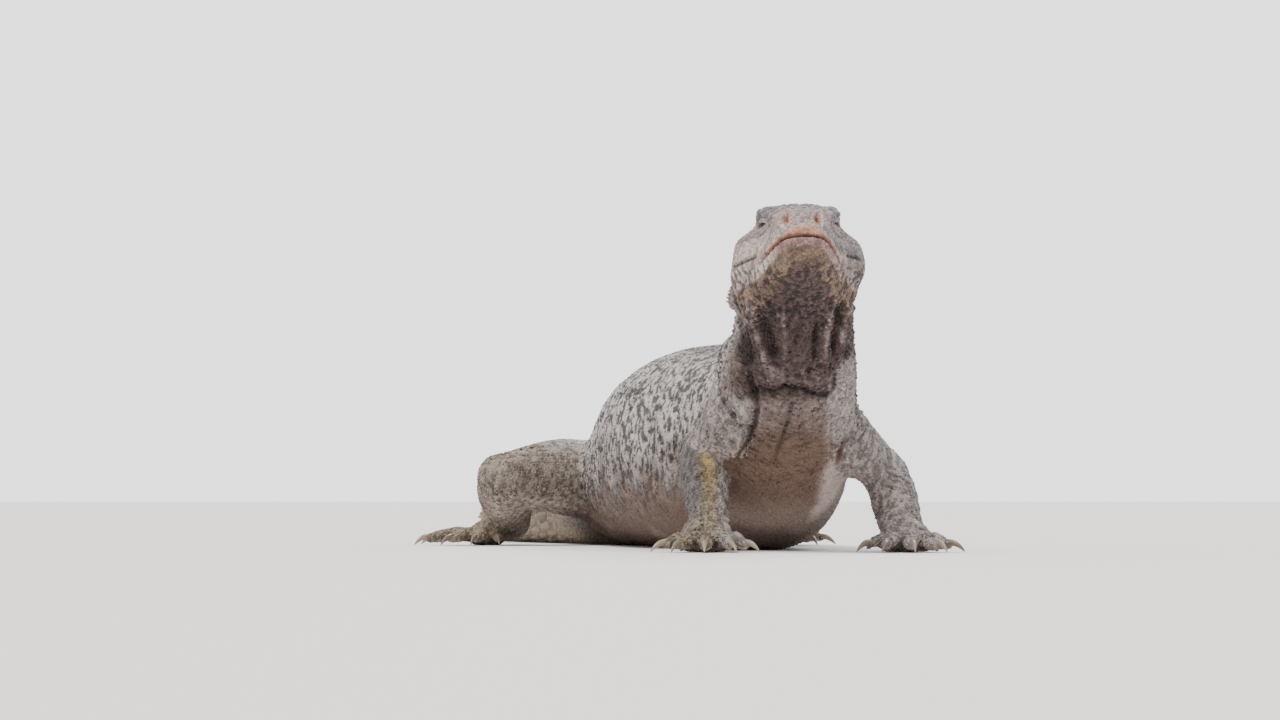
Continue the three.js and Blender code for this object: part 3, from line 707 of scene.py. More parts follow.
def eyePlace(side):
    return np.array(eye["place"]) * (side, 1, 1), unit(np.array(eye["gaze"]) * (side, 1, 1))


def openSockets(local):
    moved = local.copy()
    full, wide = eye["hollow"]
    for side in (-1, 1):
        place, gaze = eyePlace(side)
        off = local - place
        reach = np.linalg.norm(off, axis=1)
        across = np.linalg.norm(off - (off @ gaze)[:, None] * gaze, axis=1)
        inside = (across < wide) & (off @ gaze > 0)
        depth = 1 - fade(across, full, wide)
        sunk = place + off / np.maximum(reach, 1e-6)[:, None] * full
        moved = np.where(inside[:, None], local + (sunk - local) * depth[:, None], moved)
    return moved


def nearPaws(points):
    paws = np.zeros(len(points))
    for leg in legs.values():
        turn = math.radians(leg["heading"])
        ahead = np.array([math.cos(turn), math.sin(turn), 0])
        middle = np.array(leg["end"]) + ahead * (palms[leg["hand"]][0] + 8)
        close = fade(32 - np.linalg.norm(points - middle, axis=1), 0, 6)
        paws = np.maximum(paws, close * fade(15 - points[:, 2], 0, 3))
    return paws


def nearJoints(points, local):  # where limbs leave the body and bend, and the nape
    joint = np.zeros(len(points))
    for leg in legs.values():
        root, bend = np.array(leg["root"]), np.array(leg["bend"])
        for place, size, most in ((root + (bend - root) * 0.42, leg["upper"][0] * 1.5, 1), (bend, 11, 0.7)):
            joint = np.maximum(joint, most * np.exp(-(np.linalg.norm(points - place, axis=1) / size) ** 4))
    nape = bump(local[:, 1], 58, 9) * fade(-local[:, 2], -40, 30)
    return np.clip(joint + nape, 0, 1) * (points[:, 2] > 2)


def makeSkin():
    mesh = fuseForms()
    points, edges = coordinates(mesh), readAll(mesh.edges, "vertices", 2, np.int32)
    local = toHead(points)
    paws = nearPaws(points)
    points = smoothed(points, edges, 8, skinMaking["evenOut"], 1 - 0.75 * paws)
    points = smoothed(points, edges, 5, skinMaking["soften"], 1 - 0.9 * paws)
    points = smoothed(points, edges, 36, skinMaking["soften"], nearJoints(points, local))
    mesh.vertices.foreach_set("co", points.ravel())
    refine(mesh, inHead)
    refine(mesh, aroundMouth)
    points, edges = coordinates(mesh), readAll(mesh.edges, "vertices", 2, np.int32)
    inFace = fade(skinMaking["headBack"] + 4 - toHead(points)[:, 1], 0, 4)
    points = smoothed(points, edges, 5, skinMaking["soften"], inFace)
    mesh.vertices.foreach_set("co", points.ravel())
    mesh.update()
    normals = normalsOf(mesh)
    local = toHead(points)
    t, angle = trunkPlace(points)
    ofHead = fade(64 - local[:, 1], 0, 6) * fade(points[:, 2], 78, 92)
    ofTrunk = fade(np.linalg.norm(points - trunkPoints(t, angle[:, None])[:, 0], axis=1), -9, -2.5)
    swell = shapeHead(points, normals, local) * ofHead
    swell += foldThroat(points, normals)
    swell += wrinkleBody(points, t, angle) * (1 - ofHead) * ofTrunk
    rightSide = fade(-np.cos(angle), 0.1, 0.5) * (1 - ofHead)
    for height, row, wide, above, tall in shoulderFolds:
        swell += height * bump(t, row, wide) * rightSide * bump(points[:, 2], above, tall)
    swell += 0.3 * ripple(points, 4.5, 5) * fade(t, -1, 0.5)
    web = np.linalg.norm((points - elbowWeb["place"]) / elbowWeb["size"], axis=1)
    swell += elbowWeb["swell"] * np.exp(-(web**2)) * fade(normals[:, 0], -0.2, 0.4)
    points = points + normals * swell[:, None]
    points = np.where((ofHead > 0.5)[:, None], fromHead(openSockets(toHead(points))), points)
    points[:, 2] = np.maximum(points[:, 2], skinMaking["floorGap"])
    mesh.vertices.foreach_set("co", points.ravel())
    mesh.update()
    made = addObject("skin", mesh)
    mesh.calc_loop_triangles()
    ratio = skinMaking["mostTriangles"] / len(mesh.loop_triangles)
    if ratio < 1:
        thin = made.modifiers.new("thin", "DECIMATE")
        thin.ratio = ratio
        graph = bpy.context.evaluated_depsgraph_get()
        slim = bpy.data.meshes.new_from_object(made.evaluated_get(graph))
        made.modifiers.clear()
        made.data = slim
    return made


skin = makeSkin()
print("skin made:", len(skin.data.vertices), "points")


# Where things lie on the skin

skinPoints = coordinates(skin.data)
skin.data.calc_loop_triangles()
skinFaces = readAll(skin.data.loop_triangles, "vertices", 3, np.int32)
skinTree = BVHTree.FromPolygons(skinPoints.tolist(), skinFaces.tolist())


def settle(points):  # the skin's nearest points, with normals and how far off they were
    found = [skinTree.find_nearest(p) for p in np.asarray(points).tolist()]
    place = np.array([f[0] for f in found])
    normal = np.array([f[1] for f in found])
    return place, normal, np.array([f[3] for f in found])


class FormMap:  # tells which form a point of the skin belongs to, and which way its scales point
    def __init__(self):
        spots, ways, outs, unwraps, kinds = [], [], [], [], []
        for k, (kind, grid) in enumerate(forms):
            rings, sides, _ = grid.shape
            way = unit(np.gradient(grid, axis=0))
            middle = grid.mean(1, keepdims=True)
            out = unit(np.cross(np.roll(grid, -1, 1) - np.roll(grid, 1, 1), way))
            out *= np.sign(((grid - middle) * out).sum(-1, keepdims=True))
            v, u = (np.arange(rings) + 0.5) / rings, (np.arange(sides) + 0.5) / sides
            v, u = np.meshgrid(v, u, indexing="ij")
            column, row = k % 7, k // 7
            sheet = np.stack([(column + 0.05 + 0.9 * u) / 7, (row + 0.05 + 0.9 * v) / 6], -1)
            spots.append(grid.reshape(-1, 3))
            ways.append(way.reshape(-1, 3))
            outs.append(out.reshape(-1, 3))
            unwraps.append(sheet.reshape(-1, 2))
            kinds.append(np.full(rings * sides, k))
        self.ways = np.vstack(ways)
        self.outs = np.vstack(outs)
        self.unwraps = np.vstack(unwraps)
        self.kinds = np.concatenate(kinds)
        self.tree = KDTree(len(self.kinds))
        for i, spot in enumerate(np.vstack(spots).tolist()):
            self.tree.insert(spot, i)
        self.tree.balance()

    def look(self, points):
        index = np.array([self.tree.find(p)[1] for p in points.tolist()])
        return self.ways[index], self.outs[index], self.unwraps[index], self.kinds[index]


formMap = FormMap()
trunkKind, headKind = 0, 1


# Markings, the same for the skin and for every scale on it: colours as seen in daylight, with light and
# shade painted into several of them

def linear(red, green, blue):
    c = np.array([red, green, blue]) / 255
    return np.where(c <= 0.04045, c / 12.92, ((c + 0.055) / 1.055) ** 2.4)


hide = {name: linear(*rgb) for name, rgb in {
    "back": (140, 133, 130),
    "flank": (190, 183, 179),
    "flankLow": (108, 95, 88),
    "belly": (112, 90, 77),
    "bellyPale": (198, 182, 172),
    "chest": (136, 119, 114),
    "throat": (82, 66, 63),
    # the fold ridges' pale colour is a painted highlight, and the next one is painted shade for grooves,
    # creases and hollows
    "throatRidgeHighlight": (150, 132, 128),
    "pit": (38, 29, 27),
    "collar": (168, 158, 154),
    "crown": (138, 133, 138),
    "snout": (164, 146, 144),
    "brow": (168, 158, 154),
    "cheek": (192, 178, 170),
    # painted shade for the face's side away from the key light
    "cheekShaded": (138, 128, 127),
    "cheekLow": (150, 130, 118),
    "lip": (186, 138, 112),
    "lipEdge": (146, 98, 84),
    "lipPale": (190, 168, 158),
    "lowerLip": (160, 128, 122),
    "lowerLipPale": (204, 188, 176),
    "chin": (124, 101, 84),
    "chinPale": (146, 127, 108),
    "chinDark": (90, 71, 67),
    "upperArm": (156, 147, 142),
    "forearm": (92, 86, 82),
    "ochre": (160, 138, 90),
    "hand": (142, 128, 108),
    "armSheen": (118, 113, 114),
    "hindLeg": (146, 134, 122),
    "tail": (152, 138, 122),
    "tailDark": (96, 82, 70),
    # painted shade for the slit of the mouth and the nostril holes
    "mouth": (46, 30, 27),
}.items()}
creases = {  # painted shade along creases seen from the front, as (x, z)
    "left": [(-25, 114.4), (-20.7, 116.2), (-17, 117.4)],
    "right": [(19.4, 118.2), (22, 117.9), (25, 117.2)],
}
paleBelly = ((4, 21, 40), (4, 11.3, 15))  # heights, and how far left the brown belly reaches there
chinWedge = ((95, 101, 108, 113, 117), (22, 12.5, 7.5, 3, -4))  # heights, half widths of the dark chin


def mixIn(colour, other, mask):
    mask = np.clip(mask, 0, 1)[:, None]
    return colour * (1 - mask) + other * mask


def laid(colour, layers):  # lays colours of the hide over one another, each by its mask
    for name, mask in layers:
        colour = mixIn(colour, hide[name], mask)
    return colour


def markFace(points, local, soft, patchy, fine):
    x, y, z = local.T
    px, pz = points[:, 0], points[:, 2]
    lift = z - mouthHeight(y)
    # painted shade: the face darker on the side away from the key light
    shadedSide = fade(px, -4, 12)
    face = laid(hide["cheek"] * (1 - shadedSide)[:, None] + hide["cheekShaded"] * shadedSide[:, None], [
        ("cheekLow", fade(-z, 3, 10)),
        ("brow", fade(z, 9, 13) * fade(y, 14, 20)),
        ("snout", fade(z, 4, 7) * (1 - fade(y, 14, 20))),
        # the crown's bluish grey is partly its own colour, partly a painted blue-grey highlight
        ("crown", fade(z, 15, 18) * fade(y, 10, 18)),
    ])
    face = mixIn(face, hide["cheekLow"] * 0.8, 0.6 * fade(patchy, 0.1, 0.4) * fade(y, 18, 30))
    front = 1 - fade(y, 26, 32)
    upper = fade(lift, 0, 0.4) * front
    orange = 1.1 + 2.9 * np.exp(-((x / 6.5) ** 4))
    under = fade(mouthHeight(np.minimum(y, 24)) - z, 2.6, 4.4)
    chin = under * fade(pz, 92, 98)
    blotch = ripple(points, 2.6, 27)
    wedge = np.interp(pz, *chinWedge) * (1 + 0.35 * soft)
    dark = under * fade(wedge - np.abs(px - 1.5) + 1.5 * patchy, -2.5, 2)
    lower = fade(-lift, 0, 0.4) * (1 - fade(-lift + 0.5 * soft, 2.8, 4.4)) * front
    face = laid(face, [
        ("lipPale", upper * (1 - fade(lift, 2.6, 5)) * 0.8),
        ("lip", upper * (1 - fade(lift / orange, 0.75, 1.25)) * (1 - 0.95 * fade(y, 9, 20))),
        ("lipEdge", 0.75 * upper * (1 - fade(lift, 0.5, 1.3)) * (1 - 0.9 * fade(y, 8, 20))),
        ("chin", chin),
        ("chinPale", chin * 0.75 * fade(patchy + blotch, 0.05, 0.5)),
        ("chinDark", chin * 0.75 * fade(blotch - 0.6 * patchy + 0.3 * fine, 0.05, 0.35)),
        ("chinDark", dark),
        ("throat", dark * (1 - fade(pz, 100, 110))),
        ("lowerLip", lower),
        ("lowerLipPale", lower * fade(y, 6, 15) * (0.35 + 0.65 * fade(-px, -12, 0))),
    ])
    # painted shade in the hollow round the eye
    socket = 0.85 * np.exp(-((np.hypot(y - 22.6, (z - 13) * 1.25) / 4.4) ** 2))
    for side in (-1, 1):
        hole = fromNostril(local, side)
        face = laid(face, [
            ("lip", 0.9 * (1 - fade(hole, 1.1, 1.9))),
            ("lowerLipPale", 0.8 * bump(hole, 2.0, 0.5) * fade(x * side, 6.2, 7.5)),
            # painted shade in the nostril holes
            ("mouth", 0.85 * np.exp(-((hole / 0.7) ** 2))),
            # painted shade in the fold behind the jowl, below the ear
            ("cheekShaded", fade(y, 54.5, 56) * (x * side > 15) * fade(z, -14, -10)),
            # painted shade in the ear openings and round the eyes' sockets
            ("pit", 1 - fade(fromEar(local, side), 1.0, 1.45)),
            ("pit", socket * (x * side > 6)),
        ])
    # painted shade laid along each crease
    for line in creases.values():
        gap, _ = toLine(points[:, [0, 2]], line)
        face = mixIn(face, hide["pit"], 0.8 * np.exp(-((gap / 0.7) ** 2)) * (y < 50))
    # painted shade along the mouth's slit
    return mixIn(face, hide["mouth"], np.exp(-((lift / 0.4) ** 2)) * (1 - fade(y, 20, 25)))


limbTints = {  # the upper half, the lower half and how much of the hand's colour the paw has
    "arm_left": ("upperArm", "upperArm", 0.3),
    "arm_right": ("upperArm", "forearm", 0.8),
    "leg_left": ("hindLeg", "hindLeg", 0.8),
    "leg_right": ("hindLeg", "hindLeg", 0.8),
}


def markLimb(name, points, within, outward, patchy):
    leg = legs[name]
    px, _, pz = points.T
    lower = (within >= 1) * 1.0
    upperTint, lowerTint, paw = limbTints[name]
    limb = laid(np.tile(hide[upperTint], (len(points), 1)), [
        (lowerTint, lower),
        ("hand", (within >= 2) * paw),
    ])
    if name == "arm_left":
        limb = mixIn(limb, hide["collar"], lower * 0.7)
    if leg["hand"]:
        wrist, elbow = np.array(leg["end"]), np.array(leg["bend"])
        inner = 1 if name.endswith("right") else -1
        facing = fade(-outward[:, 1], 0.1, 0.5)
        if inner > 0:
            paler = lower * fade(px - np.interp(pz, (9, 43), (wrist[0], elbow[0])), 2, 6)
            limb = mixIn(limb, hide["upperArm"], 0.7 * paler)
        # painted blue-grey sheen on the forearms' outer sides
        limb = mixIn(limb, hide["armSheen"], 0.5 * lower * fade(outward[:, 0] * -inner, 0.2, 0.7))
        top, foot = wrist + (elbow - wrist) * 0.86, wrist + (elbow - wrist) * 0.3
        line = [top[[0, 2]] + (inner * 2.4, 0), foot[[0, 2]] + (inner * 1.5, 0)]
        gap, share = toLine(points[:, [0, 2]], line)
        ochre = np.exp(-((gap / (3.2 + 1.6 * patchy)) ** 2)) * facing * (1 - 0.5 * share)
        limb = mixIn(limb, hide["ochre"], ochre * (1.0 if inner > 0 else 0.2))
    return laid(limb, [
        ("flankLow", 0.45 * fade(patchy, 0.1, 0.5)),
        ("bellyPale", 0.5 * fade(-outward[:, 2], 0.4, 0.9)),
    ])


def markings(points, outward, kinds):
    t, angle = trunkPlace(points)
    back = np.sin(angle)
    local = toHead(points)
    px, pz = points[:, 0], points[:, 2]
    soft, patchy, fine = ripple(points, 14, 21), ripple(points, 6, 22), ripple(points, 1.25, 24)
    tail = fade(t + 0.6 * soft, 12.0, 14.4)
    colour = laid(np.tile(hide["flank"], (len(points), 1)), [
        ("back", fade(back, 0.72, 0.97)),
        # the lower flank's and the belly's browns: partly their own colour, partly painted shade
        ("flankLow", fade(-back + 0.35 * soft, -0.35, 0.4) * 0.9),
        ("belly", fade(-back + 0.3 * soft, 0.15, 0.7)),
        ("bellyPale", 0.2 * fade(soft, 0.1, 0.5) * fade(-back, 0.0, 0.4)),
    ])
    # painted shade: the underside darkened by up to 22 percent
    colour = laid(colour * (1 - 0.22 * fade(-back, 0.35, 0.7))[:, None], [
        ("tail", tail),
        ("tailDark", tail * 0.6 * fade(patchy, -0.1, 0.4) * fade(back, -0.3, 0.2)),
    ])

    ofTrunk, ofLimbs = kinds == trunkKind, kinds > headKind
    facing = frontOf(points, outward)
    front = facing * ~ofLimbs
    folds = foldThroat(points, outward)
    chest = front * (1 - fade(pz, 60, 70))
    edge = np.interp(pz, *paleBelly) + 2.2 * soft + 1.2 * patchy
    pale = fade(px - edge, -2.5, 3.5) * (1 - fade(pz, 32, 44)) * chest
    throat = front * fade(pz, 60, 66) * (1 - fade(pz, 112, 116))
    collar = front * fade(px - 14 + 0.8 * (70 - pz), -2.5, 3) * fade(px, 13, 16) * fade(pz, 44, 54)
    # painted shadow on the side of the neck, behind the jowl
    neckShadow = ofTrunk * (1 - front) * fade(px, 5, 15) * fade(pz, 78, 84) * (1 - fade(t, 3, 4.5))
    colour = laid(colour, [
        ("collar", ofTrunk * (1 - front) * (1 - fade(t, 4.5, 6)) * 0.6),
        ("belly", chest),
        ("chest", chest * fade(pz + 6 * soft, 46, 58)),
        ("collar", chest * fade(pz, 40, 50) * fade(np.abs(px + 1), 12, 20) * 0.85),
        # pale is the belly's own pale side; the other term lightens the lowest chest as painted bounce
        # light from the floor
        ("bellyPale", np.maximum(pale, 0.4 * chest * fade(-pz, -26, -8))),
        ("throat", throat * fade(px, -26, -19)),
        ("collar", collar * 0.9),
        # the throat colour laid as the painted shadow on the neck's side
        ("throat", neckShadow * fade(-back, -0.7, -0.2)),
    ])

    onHead = np.where(kinds == headKind, 1.0, 0) * fade(66 - local[:, 1], 0, 6)
    colour = mixIn(colour, markFace(points, local, soft, patchy, fine), onHead)
    within = (kinds - 2) % 9  # which form of its limb
    for k, (name, leg) in enumerate(legs.items()):
        mine = ofLimbs & ((kinds - 2) // 9 == k)
        clear = np.linalg.norm(points - leg["root"], axis=1) + 8 * soft
        onThigh = (within == 0) & (not leg["hand"])  # the body's colours run on over its root
        limb = markLimb(name, points, within, outward, patchy)
        colour = mixIn(colour, limb, mine * np.where(onThigh, fade(clear, 24, 40), 1))
    # Painted light on the folds of the throat and chest: ridges lightened as a painted highlight, grooves
    # and the armpit lines darkened as painted shade
    ridgeHighlight = fade(folds + 0.5 * fine, 0.3, 2.6) * (0.4 + 0.6 * fade(pz, 71, 80))
    armpit = facing * (ofLimbs & (kinds < 20) & (within == 0)) * fade(pz, 40, 46)
    deep = np.maximum(front * (0.45 + 0.35 * throat), armpit * 0.5) * fade(-folds, 0.6, 3.2)
    colour = laid(colour, [("throatRidgeHighlight", throat * 0.8 * ridgeHighlight), ("pit", deep)])

    upright = ripple(points, 2.9, 23, (0.6, 0.6, 1.45))
    streak = fade(upright + 0.4 * fine, -0.1, 0.14)
    strength = 0.84 * (1 - front) * ofTrunk * fade(back, -0.8, -0.1) * (1 - 0.5 * tail)
    strength += 0.35 * throat + 0.32 * chest * fade(pz, 42, 56) + 0.36 * onHead + 0.5 * ofLimbs
    colour = colour * (1 - np.clip(strength, 0, 0.82) * streak)[:, None]
    flecks = fade(fine - 0.3 * upright, 0.15, 0.45) * (0.25 * throat + 0.3 * collar + 0.15 * (1 - chest))
    return mixIn(colour, np.minimum(colour * 1.8, 0.7), flecks)


def setTint(mesh, name, colours, domain="POINT"):
    attribute = mesh.attributes.new(name, "FLOAT_COLOR", domain)
    values = np.column_stack([colours, np.ones(len(colours))]).astype(np.float32)
    attribute.data.foreach_set("color", values.ravel())


def setValue(mesh, name, values):
    attribute = mesh.attributes.new(name, "FLOAT", "POINT")
    attribute.data.foreach_set("value", values.astype(np.float32))


_, skinOutward, _, skinKinds = formMap.look(skinPoints)
setTint(skin.data, "tint", markings(skinPoints, skinOutward, skinKinds))
print("markings laid on the skin")


# Materials

def nodeGroup(name, inputs, outputs):
    group = bpy.data.node_groups.new(name, "ShaderNodeTree")
    for label, kind, value in inputs:
        socket = group.interface.new_socket(name=label, in_out="INPUT", socket_type=kind)
        if value is not None:
            socket.default_value = value
    for label, kind in outputs:
        group.interface.new_socket(name=label, in_out="OUTPUT", socket_type=kind)
    return group, group.nodes.new("NodeGroupInput"), group.nodes.new("NodeGroupOutput")


def noiseNode(tree, place, scale, detail, roughness=0.6):
    values = {"Scale": scale, "Detail": detail, "Roughness": roughness, "Vector": place}
    return addNode(tree, "TexNoise", values).outputs[0]


def scaledNode(tree, vector, amount):
    node = addNode(tree, "VectorMath")
    node.operation = "SCALE"
    return setInputs(tree, node, {0: vector, "Scale": amount}).outputs[0]


def attributeNode(tree, name, output):
    node = addNode(tree, "Attribute")
    node.attribute_name = name
    return node.outputs[output]


def mixNode(tree, blend, factor, first, second):
    node = addNode(tree, "Mix")
    node.data_type = "RGBA"
    node.blend_type = blend
    socket = {s.name: k for k, s in enumerate(node.inputs) if s.enabled}
    setInputs(tree, node, {socket["Factor"]: factor, socket["A"]: first, socket["B"]: second})
    return next(s for s in node.outputs if s.enabled)


def makeHideGroup():  # mottles a tint, gives the granules between the scales, and paints shade into the gaps between granules
    group, given, result = nodeGroup(
        "hide markings",
        [("Vector", "NodeSocketVector", None), ("Tint", "NodeSocketColor", (0.4, 0.35, 0.3, 1)),
         ("Tone", "NodeSocketFloat", 0.0), ("Mottle", "NodeSocketFloat", 0.35),
         ("Grain Size", "NodeSocketFloat", 1.0)],
        [("Color", "NodeSocketColor"), ("Roughness", "NodeSocketFloat"), ("Height", "NodeSocketFloat")],
    )

    def plus(first, second, clamp=False):
        return mathNode(group, "ADD", first, second, clamp)

    def times(first, second):
        return mathNode(group, "MULTIPLY", first, second)

    def less(first, second, clamp=False):
        return mathNode(group, "SUBTRACT", first, second, clamp)

    given = given.outputs
    place = scaledNode(group, given["Vector"], given["Grain Size"])
    cells = addNode(group, "TexVoronoi", {"Scale": 900, "Randomness": 0.8, "Vector": place})
    dome = less(1.0, cells.outputs["Distance"], True)
    patches = noiseNode(group, place, 130, 4)
    dust = noiseNode(group, place, 1500, 3, 0.7)
    shade = times(less(patches, 0.5), given["Mottle"])
    light = plus(plus(shade, times(less(dust, 0.5), 0.5)), given["Tone"])
    # painted shade: the colour darkened in the gaps between granules
    gaps = plus(times(dome, 0.5), 0.62, True)
    value = times(plus(times(light, 1.1), 1.0), gaps)
    setInputs(group, result, {
        "Color": scaledNode(group, given["Tint"], value),
        "Roughness": plus(times(dust, 0.3), 0.48),
        "Height": plus(dome, times(dust, 0.35)),
    })
    return group


hideGroup = makeHideGroup()


def hideMaterial(name, look):
    material, tree, shader = newMaterial(name)
    marks = addNode(tree, "Group")
    marks.node_tree = hideGroup
    setInputs(tree, marks, {
        "Mottle": look["mottle"], "Grain Size": look["grain"],
        "Vector": addNode(tree, "TexCoord").outputs["Object"],
        "Tint": attributeNode(tree, "tint", "Color"),
    })
    if look["scales"]:
        setInputs(tree, marks, {"Tone": attributeNode(tree, "tone", "Fac")})
    raised = addNode(tree, "Bump", {
        "Strength": look["bump"], "Distance": look["depth"], "Height": marks.outputs["Height"],
    })
    setInputs(tree, shader, {
        "Base Color": marks.outputs["Color"], "Roughness": marks.outputs["Roughness"],
        "Normal": raised.outputs["Normal"], "Specular IOR Level": look["shine"],
    })
    return material


skinMaterial = hideMaterial("granular hide", {
    "mottle": 0.35, "grain": 1.0, "bump": 0.7, "depth": 0.0005, "shine": 0.3, "scales": False,
})
scaleMaterial = hideMaterial("dry scales", {
    "mottle": 0.3, "grain": 1.6, "bump": 0.35, "depth": 0.0002, "shine": 0.38, "scales": True,
})
skin.data.materials.append(skinMaterial)
print("hide materials ready")


# Scales

def template(rings, tip=None):  # rings of (radius across, radius along, lean, height) from the base up
    sides = 6
    points, faces = [], []
    for across, down, lean, height in rings:
        for k in range(sides):
            a = (k + 0.5) / sides * 2 * math.pi
            points.append((across * math.cos(a), down * math.sin(a) + lean, height))
    for r in range(len(rings) - 1):
        for k in range(sides):
            a, b = r * sides + k, r * sides + (k + 1) % sides
            faces += [(a, b, b + sides), (a, b + sides, a + sides)]
    last = (len(rings) - 1) * sides
    points.append(tip)
    faces += [(last + k, last + (k + 1) % sides, len(points) - 1) for k in range(sides)]
    faces += [(0, k + 1, k) for k in range(1, sides - 1)]
    return np.array(points), np.array(faces)


bead = template([(0.5, 0.5, 0, -0.25)], (0, 0.1, 0.42))
plate = template([(0.5, 0.5, 0, -0.25), (0.42, 0.42, 0.02, 0.2)], (0, 0.03, 0.3))
spine = template(
    [(0.5, 0.55, 0, -0.5), (0.46, 0.5, 0.05, 0.16), (0.27, 0.3, 0.42, 0.44)], (0, 1.12, 0.62),
)


def rowsOn(grid, gap, aspect, reach=2.6):  # staggered rows round a form, set down on the skin
    run = runAlong(grid.mean(1))
    found = []
    for r in range(int(run[-1] / gap)):
        level = np.interp((r + 0.5) * gap, run, np.arange(len(run)))
        low = min(int(level), len(run) - 2)
        ring = grid[low] * (1 - level + low) + grid[low + 1] * (level - low)
        ring = np.vstack([ring, ring[:1]])
        girth = runAlong(ring)
        count = max(int(girth[-1] / (gap * aspect)), 5)
        at = (np.arange(count) + 0.5 * (r % 2)) / count * girth[-1]
        found.append(np.stack([np.interp(at, girth, ring[:, k]) for k in range(3)], 1))
    place, _, off = settle(np.vstack(found))
    return place[off < reach]


def scatter(gap, near, seed, taken=()):  # points strewn over the skin at least a gap apart
    local = np.random.default_rng(seed)
    a, b, c = (skinPoints[skinFaces[:, k]] for k in range(3))
    middle = (a + b + c) / 3
    spacing = gap(middle)
    area = np.linalg.norm(np.cross(b - a, c - a), axis=1) / 2 * near(middle)
    wanted = area / spacing**2 * 4.2
    count = np.floor(wanted + local.random(len(wanted))).astype(int)
    face = np.repeat(np.arange(len(count)), count)
    u, v = local.random((2, len(face), 1))
    over = (u + v) > 1
    u, v = np.where(over, 1 - u, u), np.where(over, 1 - v, v)
    points = a[face] * (1 - u - v) + b[face] * u + c[face] * v
    order = local.permutation(len(face))
    points, spacing = points[order], spacing[face][order]
    return thinOut(points, spacing, taken)


def thinOut(points, spacing, taken):
    size = float(spacing.max())
    cells = {}
    for p in taken:
        cells.setdefault((int(p[0] // size), int(p[1] // size), int(p[2] // size)), []).append(p)
    kept = []
    offsets = [(i, j, k) for i in (-1, 0, 1) for j in (-1, 0, 1) for k in (-1, 0, 1)]
    keys = np.floor(points / size).astype(int).tolist()
    for n, (p, key, gap) in enumerate(zip(points.tolist(), keys, (spacing**2).tolist())):
        i, j, k = key
        free = True
        for di, dj, dk in offsets:
            for q in cells.get((i + di, j + dj, k + dk), ()):
                if (p[0] - q[0]) ** 2 + (p[1] - q[1]) ** 2 + (p[2] - q[2]) ** 2 < gap:
                    free = False
                    break
            if not free:
                break
        if free:
            cells.setdefault((i, j, k), []).append(p)
            kept.append(n)
    return points[kept], spacing[kept]


def strewnMesh(name, shape, roots, normals, ways, size, material, twist=0.25, tints=None):
    pattern, triangles = shape
    n, k = len(roots), len(pattern)
    way = unit(ways - (ways * normals).sum(1)[:, None] * normals)
    turn = rng.normal(0, twist, n)[:, None]
    side = np.cross(way, normals)
    way, side = way * np.cos(turn) + side * np.sin(turn), side * np.cos(turn) - way * np.sin(turn)
    across, down, tall = (np.broadcast_to(s, n)[:, None, None] for s in size)
    points = roots[:, None] + pattern[None, :, 0:1] * across * side[:, None]
    points = points + pattern[None, :, 1:2] * down * way[:, None]
    points = points + pattern[None, :, 2:3] * tall * normals[:, None]
    points[:, :, 2] = np.maximum(points[:, :, 2], 0.05)
    _, outward, unwrap, kinds = formMap.look(roots)
    if tints is None:
        tints = markings(roots, outward, kinds)
    faces = (triangles[None] + (np.arange(n) * k)[:, None, None]).reshape(-1, 3)
    mesh = bpy.data.meshes.new(name)
    mesh.vertices.add(n * k)
    mesh.vertices.foreach_set("co", inFrame(points.reshape(-1, 3)).astype(np.float32).ravel())
    mesh.loops.add(faces.size)
    mesh.loops.foreach_set("vertex_index", faces.astype(np.int32).ravel())
    mesh.polygons.add(len(faces))
    mesh.polygons.foreach_set("loop_start", np.arange(0, faces.size, 3, dtype=np.int32))
    mesh.update(calc_edges=True)
    shadeSmooth(mesh)
    setTint(mesh, "tint", np.repeat(tints, k, 0))
    setValue(mesh, "tone", np.repeat(rng.normal(0, 0.08, n), k))
    patch = 0.003  # a scale's width on the sheet that its colour is baked to
    uv = (unwrap[:, None] + pattern[None, :, :2] * patch).reshape(-1, 2)
    layer = mesh.uv_layers.new(name="OFBake")
    layer.data.foreach_set("uv", uv[faces.ravel()].astype(np.float32).ravel())
    mesh.materials.append(material)
    piece = addObject(name, mesh)
    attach(piece, "root")
    print(name, n, "scales,", len(faces), "triangles")


def strew(name, shape, gap, wanted, seed, size, twist=0.25, rows=None, inOrder=False):
    def near(points):
        return wanted(formMap.look(points)[3], points)

    if rows is None:
        roots, gaps = scatter(gap, near, seed)
    else:
        rows, _ = thinOut(rows, gap(rows) * 0.62, [])
        roots, gaps = scatter(gap, near, seed, rows.tolist())
        roots, gaps = np.vstack([rows, roots]), np.concatenate([gap(rows), gaps])
    if inOrder:  # from the neck to the tail
        order = np.argsort(roots[:, 1])
        roots, gaps = roots[order], gaps[order]
    _, normals, _ = settle(roots)
    ways, _, _, _ = formMap.look(roots)
    strewnMesh(name, shape, roots, normals, ways, [gaps * s for s in size], scaleMaterial, twist)


def bodyGap(points):
    t, angle = trunkPlace(points)
    back = np.sin(angle)
    return 1.35 + 0.35 * fade(-back, 0.6, 0.9) + 0.15 * fade(back, 0.2, 0.8) + 0.5 * fade(t, 9, 13)


def headGap(points):
    _, y, z = toHead(points).T
    lift = np.abs(z - mouthHeight(y) + 0.2)
    crown = 0.45 * fade(z, 11, 16) * fade(y, 6, 16)
    return 1.35 + crown - 0.25 * (1 - fade(lift, 2, 5)) * (1 - fade(y, 26, 34))


def evenGap(gap):
    return lambda points: np.full(len(points), gap)


